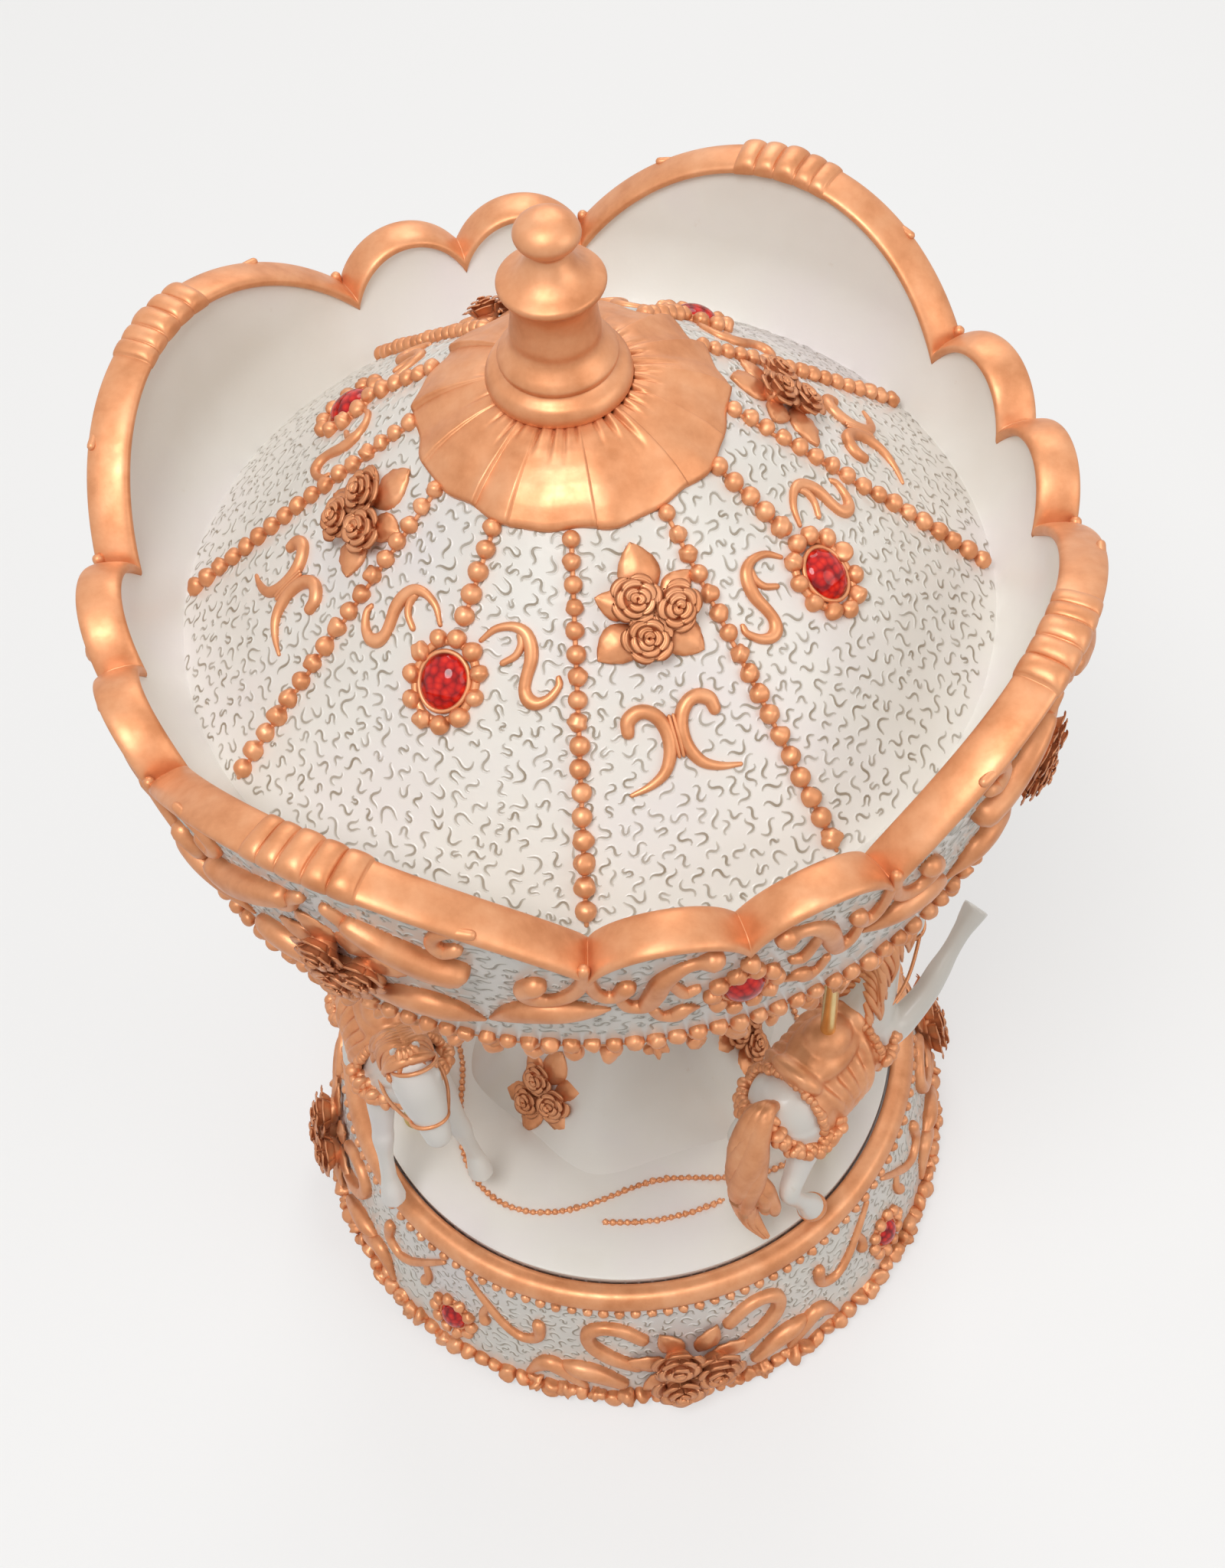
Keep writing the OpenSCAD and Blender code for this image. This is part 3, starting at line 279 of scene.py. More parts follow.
def tube(path, radii, sides=10, height=1.0, square=1.0):
    """Closed tube along path with round ends, its section height times as high as wide."""
    path = np.asarray(path, float)
    radii = np.asarray(radii, float) * np.ones(len(path))
    ahead = np.gradient(path, axis=0)
    ahead /= np.linalg.norm(ahead, axis=1)[:, None] + 1e-9
    start = [path[0] - ahead[0] * radii[0] * d for d in (0.87, 0.5)]
    end = [path[-1] + ahead[-1] * radii[-1] * d for d in (0.5, 0.87)]
    tips = [path[0] - ahead[0] * radii[0], path[-1] + ahead[-1] * radii[-1]]
    radii = np.concatenate([radii[0] * np.array([0.5, 0.87]), radii, radii[-1] * np.array([0.87, 0.5])])
    path = np.vstack([start, path, end])
    ahead = np.vstack([ahead[:1], ahead[:1], ahead, ahead[-1:], ahead[-1:]])
    side = np.cross([0, 0, 1.0], ahead)
    side /= np.linalg.norm(side, axis=1)[:, None] + 1e-9
    up = np.cross(ahead, side)
    a = around(sides)
    across = rounded(np.cos(a), square)
    upward = rounded(np.sin(a), square)
    ring = across[None, :, None] * side[:, None] + height * upward[None, :, None] * up[:, None]
    verts = (path[:, None] + ring * radii[:, None, None]).reshape(-1, 3)
    quads = grid(len(path), sides, wrap_cols=True)[:, ::-1]
    return np.vstack([verts, tips]), quads, end_fans(len(path), sides)


def smooth(points, per):
    """Smooth curve through points of any dimension, with per steps between two of them."""
    p = np.array(points, float)
    ends = np.vstack([2 * p[0] - p[1], p, 2 * p[-1] - p[-2]])
    out = []
    for i in range(1, len(ends) - 2):
        a, b, c, d = ends[i - 1:i + 3]
        for t in np.arange(per) / per:
            square = (2 * a - 5 * b + 4 * c - d) * t * t
            cube = (3 * b - a - 3 * c + d) * t ** 3
            out.append(0.5 * (2 * b + (c - a) * t + square + cube))
    out.append(p[-1])
    return np.array(out)


def smooth_profile(points, per=4):
    """Profile of a turned part through points (r, z)."""
    return [(max(r, 0.01), z) for r, z in smooth(points, per)]


def bar(points, height=0.95, lift=0.3, square=1.0):
    """Cast bar lying on the plane along a smooth curve; points are x, y, width."""
    line = smooth(points, 6)
    radii = np.maximum(line[:, 2], 0.2) / 2
    return tube(np.column_stack([line[:, :2], radii * lift]), radii, 14, height, square)


def shell(front, back):
    """Closed thin sheet between two equal grids of points (rows, cols, 3)."""
    rows, cols = front.shape[:2]
    n = rows * cols
    near = list(range(cols))
    right = [r * cols + cols - 1 for r in range(1, rows)]
    far = [(rows - 1) * cols + k for k in range(cols - 2, -1, -1)]
    left = [r * cols for r in range(rows - 2, 0, -1)]
    edge = np.array(near + right + far + left)
    after = np.roll(edge, -1)
    rim = np.stack([edge, after, after + n, edge + n], -1)
    verts = np.concatenate([front.reshape(-1, 3), back.reshape(-1, 3)])
    face = grid(rows, cols)
    return verts, np.concatenate([face, face[:, ::-1] + n, rim]), None


# ---- flowers and stones ----
def petal(angle, inner, outer, low, high, spread, thick, roll):
    """Petal: a patch of a bowl from radius inner to outer, its lip rolled outward."""
    u, v = np.meshgrid(np.linspace(-1, 1, 9), np.linspace(0, 1, 7), indexing="ij")
    width = spread * np.sqrt(np.clip(1 - (v * 0.94) ** 3.2, 0, 1)) * (0.7 + 0.3 * v)
    lip = np.clip((v - 0.62) / 0.38, 0, 1) ** 2
    r = inner + (outer - inner) * v ** 0.8 + roll * lip * (1 - 0.3 * u * u)
    z = low + (high - low) * np.sin(v * np.pi / 2 * 1.08)
    z = z - 0.5 * roll * lip - 0.12 * (high - low) * u ** 2 * v
    a = np.radians(angle) + u * width

    def bowl(dr):
        return np.stack([(r - dr) * np.cos(a), (r - dr) * np.sin(a), z - 0.35 * dr * (1 - v)], -1)

    return shell(bowl(0), bowl(thick))


# Rows of petals from the outside in: count, inner and outer radius, low and high edge, spread
PETAL_ROWS = ((5, 0.62, 1.0, 0.05, 0.5, 0.78), (5, 0.42, 0.72, 0.18, 0.72, 0.86),
              (3, 0.22, 0.44, 0.3, 0.86, 1.2), (2, 0.06, 0.2, 0.3, 0.92, 1.9))


def rose(r):
    """Rose of radius r with a bud and four rows of overlapping petals."""
    parts = []
    turn = RNG.uniform(0, 360)
    for row, (count, inner, outer, low, high, spread) in enumerate(PETAL_ROWS):
        for k in range(count):
            angle = turn + 360 * k / count + 31 * row + RNG.normal(0, 5)
            reach = outer * r * RNG.uniform(0.95, 1.05)
            top = high * r * RNG.uniform(0.93, 1.04)
            parts.append(petal(angle, inner * r, reach, low * r, top, spread, 0.09 * r, 0.13 * r))
    parts.append(ball(0.55 * r, 0.02 * r, 0.8))
    return merge(*parts)


def leaf(length, width, arch):
    """Pointed leaf folded along its midrib, lying along +x."""
    u, v = np.meshgrid(np.linspace(-1, 1, 7), np.linspace(0, 1, 13), indexing="ij")
    half = width / 2 * np.sin(np.pi * np.clip(v, 0.02, 1) ** 0.8) ** 0.8
    y = u * half * (1 + 0.07 * np.sin(v * 38) * np.abs(u))
    fold = 0.35
    z = 0.35 + fold * half * (1 - np.abs(u)) ** 0.8 * 0.5 - fold * np.abs(u) * half * 0.45
    z = z + arch * length * 0.3 * np.sin(v * np.pi)
    z = z + 0.12 * np.sin(v * 24 + np.abs(u) * 5) * np.abs(u)
    top = np.stack([v * length, y, z], -1)[:, ::-1]
    return shell(top, top - [0, 0, 0.45 + 0.3 * arch])


def rose_cluster(r, leaves):
    """Three roses with pointed leaves; leaves is a list of (turn, length, width)."""
    parts = []
    for turn, length, width in leaves:
        x, y, _ = on_circle(0.8 * r, turn)
        parts.append(moved(leaf(length, width, RNG.uniform(0.1, 0.3)), x, y, 0.1, turn))
    for k in range(3):
        x, y, _ = on_circle(0.98 * r, 120 * k + 90)
        parts.append(moved(rose(r * RNG.uniform(0.95, 1.05)), x, y, 0.35 * r))
    return merge(*parts)


def gem_mount(stone_long, stone_wide, ring_long, ring_wide, beads, bead_size):
    """Ring of beads round an oval stone, long along x, with the bezel and the tray under them."""
    parts = []
    for k in range(beads):
        a = TURN * (k + 0.5) / beads
        r = bead_size / 2 * RNG.uniform(0.94, 1.06)
        parts.append(ball(r, r * 0.45, 0.97, at=(ring_long * math.cos(a), ring_wide * math.sin(a))))
    t = np.linspace(0, TURN, 61)
    bezel = (stone_long + 0.15, stone_wide + 0.15, 0.34, 0.55)
    tray = (ring_long - 0.5, ring_wide - 0.5, 0.62, 0.1)
    for long_r, wide_r, radius, up in (bezel, tray):
        path = np.column_stack([long_r * np.cos(t), wide_r * np.sin(t), np.full(61, up)])
        parts.append(tube(path, radius, 8))
    return merge(*parts)


def stone(long_r, wide_r, high):
    """Oval cabochon, long along x."""
    v = STONE_V * [long_r, wide_r, high]
    v[:, 2] = np.maximum(v[:, 2], -0.3)
    return v, None, STONE_F


# ---- surfaces that carry the ornament ----
class Surface:
    """Surface of revolution; s runs down its meridian, h stands out of it."""

    def __init__(self, r, z):
        self.r = np.asarray(r, float)
        self.z = np.asarray(z, float)
        self.s = np.concatenate([[0], np.cumsum(np.hypot(np.diff(self.r), np.diff(self.z)))])
        self.nr = -np.gradient(self.z, self.s)
        self.nz = np.gradient(self.r, self.s)

    def at(self, az, s, h=0.0):
        r = np.interp(s, self.s, self.r) + h * np.interp(s, self.s, self.nr)
        z = np.interp(s, self.s, self.z) + h * np.interp(s, self.s, self.nz)
        return np.stack([r * np.cos(np.radians(az)), r * np.sin(np.radians(az)), z], -1)

    def s_of_z(self, z):
        return float(np.interp(-z, -self.z, self.s))

    def s_of_r(self, r):
        return float(np.interp(r, self.r, self.s))

    def wrapped(self, az, s):
        """Mover that bends plane parts (x down, y round, z out) onto the surface."""
        def mover(v):
            ss = s + v[:, 0]
            return self.at(az + np.degrees(v[:, 1] / np.interp(ss, self.s, self.r)), ss, v[:, 2])
        return mover


ROOF_RS = np.linspace(ROOF_IN, ROOF_R, 60)
ROOF = Surface(ROOF_RS, roof_height(ROOF_RS))
CROWN_ZS = np.linspace(210, CROWN_Z - 6, 30)
CROWN = Surface(crown_radius(CROWN_ZS), CROWN_ZS)
FLANK_ZS = np.linspace(BASE_H, FELT_T, 30)
FLANK_SLOPE = (FOOT_R - BASE_TOP_R) / (BASE_H - FELT_T)
FLANK = Surface(FOOT_R - FLANK_SLOPE * (FLANK_ZS - FELT_T), FLANK_ZS)

STROKE_POINTS = 13
STROKE_SPACING = 1.5
STROKE_CELL = 0.35
# Section of a stroke between its lips: across, height, groove, the groove being how much dark wash and
# painted shade the stroke's middle gets
STROKE_SECTION = np.array([(-0.5, -0.05, 0), (-0.27, 0.14, 0), (-0.14, 0.03, 1),
                           (0.14, 0.03, 1), (0.27, 0.14, 0), (0.5, -0.05, 0)])


def stroke():
    """One engraved stroke on the plane with two or three bends, as x, y, normal x, normal y."""
    t = np.linspace(0, 1, STROKE_POINTS)
    bends = RNG.uniform(0.6, 1.25)
    heading = np.radians(RNG.uniform(60, 105)) * np.sin(TURN * (bends * t + RNG.random()))
    step = RNG.uniform(3.2, 5.4) / (STROKE_POINTS - 1)
    x = np.cumsum(np.cos(heading)) * step
    y = np.cumsum(np.sin(heading)) * step
    return x - x.mean(), y - y.mean(), -np.sin(heading), np.cos(heading)


def engraving(surface, s_from, s_to, keep_out, top_of=None):
    """Covers a surface with short strokes that don't meet, leaving discs (az, s, radius) free."""
    shape = Shape()
    taken = set()
    free_az, free_s, free_r = np.array(keep_out, float).T
    t = np.linspace(0, 1, STROKE_POINTS)
    taper = (np.sin(np.pi * np.clip(t * 0.9 + 0.05, 0, 1)) ** 0.4)[:, None]
    off, rise, dark = (taper * column for column in STROKE_SECTION.T)
    faces = grid(STROKE_POINTS, len(STROKE_SECTION))[:, ::-1]
    strokes = [stroke() for _ in range(80)]
    near = range(-2, 3)
    around = np.array([(i, j, k) for i in near for j in near for k in near if i * i + j * j + k * k < 6])

    def engrave(az, mid, r):
        """Tries turned strokes at a place, at last smaller ones, till one fits."""
        for attempt in range(16):
            x0, y0, nx0, ny0 = strokes[RNG.integers(len(strokes))]
            size = 1.0 if attempt < 13 else 0.7
            heading = RNG.uniform(0, TURN)
            c = np.cos(heading)
            w = np.sin(heading)
            x = (x0 * c - y0 * w) * size
            y = (x0 * w + y0 * c) * size
            if mid + x.min() < s_from or mid + x.max() > s_to:
                continue
            azs = az + np.degrees(y / r)
            line = surface.at(azs, mid + x)
            cells = np.rint(line / STROKE_CELL).astype(int)
            if not taken.isdisjoint(map(tuple, cells)):
                continue
            if top_of is not None and np.any(line[:, 2] > top_of(azs)):
                continue
            taken.update(map(tuple, (cells[:, None] + around[None]).reshape(-1, 3)))
            ss = mid + x[:, None] + (nx0 * c - ny0 * w)[:, None] * off
            aa = az + np.degrees((y[:, None] + (nx0 * w + ny0 * c)[:, None] * off) / r)
            shape.add(surface.at(aa, ss, rise), faces, None, (dark * RNG.uniform(0.7, 1.0)).ravel())
            return

    for s in np.arange(s_from + 0.6, s_to - 0.5, STROKE_SPACING * 0.86):
        r = float(np.interp(s, surface.s, surface.r))
        count = int(TURN * r / STROKE_SPACING)
        for k in range(count):
            az = 360 * (k + RNG.uniform(-0.35, 0.35)) / count
            mid = s + RNG.uniform(-0.4, 0.4) * STROKE_SPACING
            across = np.radians((az - free_az + 180) % 360 - 180) * r
            if np.all(np.hypot(mid - free_s, across) >= free_r):
                engrave(az, mid, r)
    return shape


# ---- materials ----
BLACK = (0, 0, 0)
WHITE = (1, 1, 1)


class Paint:
    """A new material and the nodes that feed its shader."""

    def __init__(self, name):
        self.material = bpy.data.materials.new(name)
        self.material.use_nodes = True
        self.nodes = self.material.node_tree.nodes
        self.links = self.material.node_tree.links
        self.inputs = self.nodes["Principled BSDF"].inputs

    def noise(self, scale, detail, rough=0.5):
        where = self.nodes.new("ShaderNodeTexCoord")
        tex = self.nodes.new("ShaderNodeTexNoise")
        tex.inputs["Scale"].default_value = scale
        tex.inputs["Detail"].default_value = detail
        tex.inputs["Roughness"].default_value = rough
        self.links.new(where.outputs["Object"], tex.inputs["Vector"])
        return tex.outputs["Fac"]

    def ramp(self, source, *stops):
        """Colours (place, colour) read along source."""
        node = self.nodes.new("ShaderNodeValToRGB")
        elements = node.color_ramp.elements
        elements[0].position = stops[0][0]
        elements[1].position = stops[-1][0]
        for place, _ in stops[1:-1]:
            elements.new(place)
        for element, (_, colour) in zip(elements, stops):
            element.color = (*colour, 1)
        self.links.new(source, node.inputs["Fac"])
        return node.outputs["Color"]

    def mixed(self, factor, a, b):
        """Colour a blended into b by factor, each a socket or a constant."""
        node = self.nodes.new("ShaderNodeMix")
        node.data_type = "RGBA"
        for socket, value in ((node.inputs[0], factor), (node.inputs[6], a), (node.inputs[7], b)):
            if isinstance(value, bpy.types.NodeSocket):
                self.links.new(value, socket)
            else:
                socket.default_value = value if isinstance(value, float) else (*value, 1)
        return node.outputs[2]

    def finish(self, colour, roughness, grain, detail, strength, depth):
        """Links the colour and roughness and gives the surface its fine grain."""
        self.links.new(colour, self.inputs["Base Color"])
        if isinstance(roughness, float):
            self.inputs["Roughness"].default_value = roughness
        else:
            self.links.new(roughness, self.inputs["Roughness"])
        node = self.nodes.new("ShaderNodeBump")
        node.inputs["Strength"].default_value = strength
        node.inputs["Distance"].default_value = depth
        self.links.new(self.noise(grain, detail), node.inputs["Height"])
        self.links.new(node.outputs["Normal"], self.inputs["Normal"])
        return self.material


def pearl():
    paint = Paint("pearl_paint")
    tone = paint.ramp(paint.noise(38, 3), (0.3, (0.77, 0.73, 0.67)), (0.5, (0.81, 0.78, 0.73)),
                      (0.72, (0.80, 0.75, 0.735)))
    stains = paint.ramp(paint.noise(190, 6, 0.7), (0.66, BLACK), (0.78, WHITE))
    tone = paint.mixed(stains, tone, (0.73, 0.66, 0.58))
    # Dark colour along the engraving's grooves: an antique wash and painted shade of the grooves
    groove = paint.nodes.new("ShaderNodeAttribute")
    groove.attribute_name = "groove"
    tone = paint.mixed(groove.outputs["Fac"], tone, (0.30, 0.24, 0.17))
    paint.inputs["Coat Weight"].default_value = 0.3
    paint.inputs["Coat Roughness"].default_value = 0.22
    return paint.finish(tone, 0.36, 900, 3, 0.12, 0.0002)


def copper():
    """Copper paint, darkened in its recesses by painted shade."""
    paint = Paint("copper_paint")
    tone = paint.ramp(paint.noise(160, 5, 0.6), (0.3, (0.60, 0.235, 0.095)), (0.5, (0.72, 0.315, 0.145)),
                      (0.7, (0.80, 0.39, 0.20)))
    # Pointiness is low in recesses; there a darker copper is mixed in as painted shade
    relief = paint.nodes.new("ShaderNodeNewGeometry")
    ridges = paint.ramp(relief.outputs["Pointiness"], (0.37, BLACK), (0.48, WHITE))
    tone = paint.mixed(ridges, paint.mixed(0.55, tone, (0.40, 0.12, 0.045)), tone)
    paint.inputs["Metallic"].default_value = 0.55
    roughness = paint.ramp(paint.noise(420, 4), (0.3, (0.37, 0.37, 0.37)), (0.7, (0.5, 0.5, 0.5)))
    return paint.finish(tone, roughness, 1300, 3, 0.1, 0.00015)


def ruby():
    paint = Paint("red_stone")
    where = paint.nodes.new("ShaderNodeTexCoord")
    facets = paint.nodes.new("ShaderNodeTexVoronoi")
    facets.inputs["Scale"].default_value = 900
    paint.links.new(where.outputs["Object"], facets.inputs["Vector"])
    tone = paint.ramp(facets.outputs["Distance"], (0.1, (0.85, 0.03, 0.012)), (0.45, (0.60, 0.008, 0.006)),
                      (0.8, (0.22, 0.0, 0.002)))
    paint.links.new(tone, paint.inputs["Base Color"])
    paint.inputs["Roughness"].default_value = 0.06
    paint.inputs["Specular IOR Level"].default_value = 0.35
    return paint.material


def metal(name, low, high, roughness):
    paint = Paint(name)
    paint.inputs["Metallic"].default_value = 1.0
    tone = paint.ramp(paint.noise(175, 5), (0.3, low), (0.7, high))
    return paint.finish(tone, roughness, 700, 2, 0.08, 0.0001)


def plain(name, low, high, roughness, scale, strength):
    paint = Paint(name)
    tone = paint.ramp(paint.noise(scale, 6, 0.65), (0.3, low), (0.7, high))
    return paint.finish(tone, roughness, scale * 4, 4, strength, 0.0003)


MATERIALS = {
    "pearl": pearl(),
    "copper": copper(),
    "ruby": ruby(),
    "brass": metal("brass", (0.62, 0.45, 0.17), (0.78, 0.60, 0.27), 0.24),
    "steel": metal("steel", (0.42, 0.43, 0.45), (0.58, 0.59, 0.61), 0.3),
    "spring_steel": metal("spring_steel", (0.05, 0.07, 0.12), (0.10, 0.13, 0.20), 0.35),
    "zinc": metal("cast_zinc", (0.42, 0.41, 0.39), (0.55, 0.54, 0.51), 0.5),
    "nylon": plain("nylon", (0.80, 0.78, 0.72), (0.86, 0.84, 0.79), 0.5, 300, 0.3),
    "felt": plain("felt", (0.015, 0.05, 0.022), (0.03, 0.085, 0.04), 0.95, 1500, 0.9),
    "cover_board": plain("cover_board", (0.16, 0.085, 0.04), (0.25, 0.14, 0.07), 0.7, 90, 0.3),
}
slots = {part["node"]: part["material_slot"] for part in frame["record"]["subparts"]}
for node, obj in frame["nodes"].items():
    obj.data.materials.clear()
    obj.data.materials.append(MATERIALS[slots[node]])


# ---- canopy: wall and rim ----
BAYS = (0, 90, 180, 270)
RIM_SIDES = 28
# Ribs of the boss on a big arch: start and end in degrees from its middle, height
BOSS_RIBS = ((-6.5, -3.7, 1.0), (-3.7, -1.0, 1.0), (-1.0, 2.0, 1.15), (2.0, 4.3, 0.75), (4.3, 6.4, 0.6))
BOSS_PLINTH = 0.25


def rim_top(az):
    """Height of the scalloped rim in directions az, and the band's upright thickness there."""
    d = np.abs((np.asarray(az, float) - CROWN_AZ + HALF_BAY) % BAY - HALF_BAY)
    small = d <= NOTCH_AZ
    off = np.radians(np.where(small, d - NOTCH_AZ / 2, d - HALF_BAY))
    half = RIM_R * np.sin(np.radians(np.where(small, NOTCH_AZ / 2, BIG_HALF)))
    rise = np.where(small, SMALL_ARCH_Z, BIG_ARCH_Z) - NOTCH_Z
    radius = (half ** 2 + rise ** 2) / (2 * rise)
    across = RIM_R * np.sin(off)
    top = NOTCH_Z + rise - radius + np.sqrt(np.maximum(radius ** 2 - across ** 2, 0))
    return top, BAND_T / np.sqrt(np.maximum(1 - (across / radius) ** 2, 0.05))


def rim_stations(steps):
    """Directions round the rim, closer together at its notches and bosses."""
    az = [CROWN_AZ + k * 360 / steps for k in range(steps)]
    for bay in BAYS:
        for notch in (-NOTCH_AZ, 0, NOTCH_AZ):
            az += [CROWN_AZ + bay + notch + d for d in (-0.5, -0.25, -0.1, 0, 0.1, 0.25, 0.5)]
        az += list(CROWN_AZ + HALF_BAY + bay + np.arange(-7.0, 7.05, 0.1))
    return np.unique(np.round(np.array(az) % 360, 4))


def canopy_wall():
    az = rim_stations(720)
    top, thick = rim_top(az)
    under = (top - thick * 0.8)[:, None]
    up = np.linspace(0, 1, 26)
    outer_z = CROWN_Z + (under - CROWN_Z) * up
    inner_z = ROOF_Z - 1 + (under - ROOF_Z + 1) * up[::-1]
    corner = np.ones((len(az), 1))
    r = np.concatenate([crown_radius(outer_z), crown_inside(inner_z), corner * (ROOF_R - 1.5)], 1)
    z = np.concatenate([outer_z, inner_z, corner * CROWN_Z], 1)
    wall = Shape().add(round_axis(np.radians(az), r, z), grid(*r.shape, wrap_rows=True, wrap_cols=True))
    wall.make("canopy_wall", "carousel", "pearl", "crown_wall")


def boss_profile(d):
    """Extra height of the rim at d degrees from the middle of a big arch."""
    lift = np.zeros_like(d)
    for start, end, high in BOSS_RIBS:
        across = (2 * d - start - end) / (end - start)
        lift = np.maximum(lift, high * np.clip(1 - np.abs(across) ** 2.2, 0, 1) ** 0.5)
    return lift + BOSS_PLINTH * ((d > BOSS_RIBS[0][0]) & (d < BOSS_RIBS[-1][1]))


def canopy_rim():
    """Copper band on the wall, with a cleft at each notch, a line at each cusp and ribbed bosses."""
    az = rim_stations(2160)
    top, thick = rim_top(az)
    d = (az - CROWN_AZ) % BAY - HALF_BAY
    mirrored = ((az - CROWN_AZ) // BAY % 2) * 2 - 1
    boss = boss_profile(-d * mirrored)
    cleft = 0.45 * np.exp(-(np.minimum(np.abs(np.abs(d) - BIG_HALF), 9) / 0.5) ** 2)
    line = 0.22 * np.exp(-(np.minimum(HALF_BAY - np.abs(d), 9) / 0.35) ** 2)
    t = around(RIM_SIDES) + np.pi / RIM_SIDES
    across = rounded(np.cos(t), 0.62)
    upward = rounded(np.sin(t), 0.72)
    crowned = 1 - 0.16 * across ** 2
    uneven = 0.1 * np.sin(np.radians(az * 7)) * np.sin(np.radians(az * 3))
    width = CROWN_WALL_T / 2 + BAND_PROUD + 0.25 * boss + uneven
    z_mid = top - thick / 2
    r = (crown_radius(z_mid) - CROWN_WALL_T / 2)[:, None] + width[:, None] * across
    relief = np.clip(upward, 0, 1) * (boss + line - cleft)[:, None]
    z = z_mid[:, None] + thick[:, None] / 2 * upward * crowned + relief
    band = Shape().add(round_axis(np.radians(az), r, z), grid(*r.shape, wrap_rows=True, wrap_cols=True))
    band.make("canopy_rim", "carousel", "copper", "crown_rim")


# ---- canopy: roof ----
ROOF_T = 2.2
ROOF_GEM_R = 37.6
ROOF_GEM_FREE = 7.2
# Mount: half length and half width of its opening and of its ring, number and size of its beads
ROOF_MOUNT = (3.85, 3.35, 5.9, 4.75, 11, 2.6)
# Stone: half length, half width, height
ROOF_STONE = (3.9, 3.4, 2.3)
ROOF_ROSE_R = 30.3
ROOF_ROSE_AZ = 1.7
ROOF_ROSE_FREE = 5.6
ROOF_ROSE_SIZE = 3.1
ROOF_CURL_R = 42.5
SHORT_RIB_R = 31.0
ROOF_LEAVES = ((180, 7.4, 5.6), (40, 6.2, 5.0), (-62, 7.0, 5.2), (118, 5.2, 4.4), (-120, 5.0, 4.2))
# Scrolls on the roof as x, y, width; a stem runs from a stone to a long string, a hook branches from it
S_STEM = ((-6.7, 3.1, 0.7), (-8.6, 4.5, 1.05), (-9.4, 6.6, 1.3), (-8.9, 8.4, 1.55), (-7.3, 9.7, 1.75),
          (-5.3, 10.4, 1.8), (-3.1, 10.5, 1.65), (-1.4, 10.8, 1.6), (-0.2, 11.7, 1.8), (0.2, 13.0, 1.8),
          (-0.6, 14.3, 1.5), (-2.2, 15.0, 1.1), (-3.3, 14.6, 0.7))
S_HOOK = ((-8.6, 8.0, 1.1), (-7.2, 8.5, 1.15), (-5.7, 8.2, 1.1), (-4.5, 6.9, 0.95))
C_SCROLL = ((-2.0, 6.0, 1.7), (-3.5, 5.6, 1.95), (-4.4, 4.3, 2.0), (-4.3, 2.9, 2.0), (-3.2, 1.7, 2.0),
            (-1.5, 1.05, 1.95), (0.5, 1.0, 1.9), (2.5, 1.6, 1.75), (4.2, 2.8, 1.5), (5.4, 4.9, 1.1),
            (6.2, 7.6, 0.6))


def roof_shell():
    r = np.linspace(ROOF_IN, ROOF_R + 0.6, 60)
    top = round_axis(around(360), r, roof_height(r))
    verts = np.concatenate([top, top[:, ::-1] - [0, 0, ROOF_T]], 1)
    quads = grid(*verts.shape[:2], wrap_rows=True, wrap_cols=True)[:, ::-1]
    Shape().add(verts, quads).make("roof_shell", "carousel", "pearl", "roof")


def bead_line(shape, az, r_to, sizes, pitches):
    """Row of beads down the roof from the cap, growing to its foot, with a thin cord between them."""
    start = ROOF.s_of_r(CAP_R + 0.9)
    length = ROOF.s_of_r(r_to) - start
    path = np.column_stack([np.linspace(0, length, 40), np.zeros(40), np.full(40, 0.1)])
    shape.place(tube(path, 0.34, 8), ROOF.wrapped(az, start))
    s = 0.0
    while s < length + 0.1:
        share = s / length
        r = (sizes[0] + (sizes[1] - sizes[0]) * share) / 2 * RNG.uniform(0.95, 1.05)
        bead = moved(ball(r, r * 0.4, 0.98, 0.045), y=RNG.normal(0, 0.07))
        shape.place(bead, ROOF.wrapped(az, start + s))
        s += (pitches[0] + (pitches[1] - pitches[0]) * share) * RNG.uniform(0.97, 1.03)


def roof_beads():
    shape = Shape()
    for bay in BAYS:
        for side in (-1, 1):
            az = CROWN_AZ + bay + side * LONG_RIB_AZ
            bead_line(shape, az, ROOF_R - 1.2, (2.35, 2.9), (2.9, 3.25))
        bead_line(shape, CROWN_AZ + bay + HALF_BAY, SHORT_RIB_R, (2.55, 2.85), (2.95, 3.05))
    shape.make("roof_beads", "carousel", "copper", "roof_bead_ribs")


def double_c():
    """Two back-to-back C scrolls tied in the middle by a ridged collar, tails down."""
    parts = [moved(bar(C_SCROLL), flip=flip) for flip in (False, True)]
    for y in (-0.28, 0.28):
        parts.append(bar([(-3.1, y, 0.5), (-1.0, y, 0.6), (0.8, y, 0.6), (2.4, y, 0.5)], 1.0, 2.6))
    return merge(*parts)


def roof_details():
    scrolls, roses, mounts, stones = Shape(), Shape(), Shape(), Shape()
    for bay in BAYS:
        az = CROWN_AZ + bay
        gem = ROOF.wrapped(az + HALF_BAY, ROOF.s_of_r(ROOF_GEM_R))
        mounts.place(gem_mount(*ROOF_MOUNT), gem)
        stones.place(stone(*ROOF_STONE), gem)
        for flip in (False, True):
            scrolls.place(moved(merge(bar(S_STEM), bar(S_HOOK)), flip=flip), gem)
        cluster = ROOF.wrapped(az + ROOF_ROSE_AZ, ROOF.s_of_r(ROOF_ROSE_R))
        roses.place(rose_cluster(ROOF_ROSE_SIZE, ROOF_LEAVES), cluster)
        scrolls.place(double_c(), ROOF.wrapped(az, ROOF.s_of_r(ROOF_CURL_R)))
    scrolls.make("roof_curls", "carousel", "copper", "roof_scrolls")
    roses.make("roof_flowers", "carousel", "copper", "roof_roses")
    mounts.make("roof_stone_mounts", "carousel", "copper", "roof_gem_settings")
    stones.make("roof_stones", "carousel", "ruby", "roof_gems")


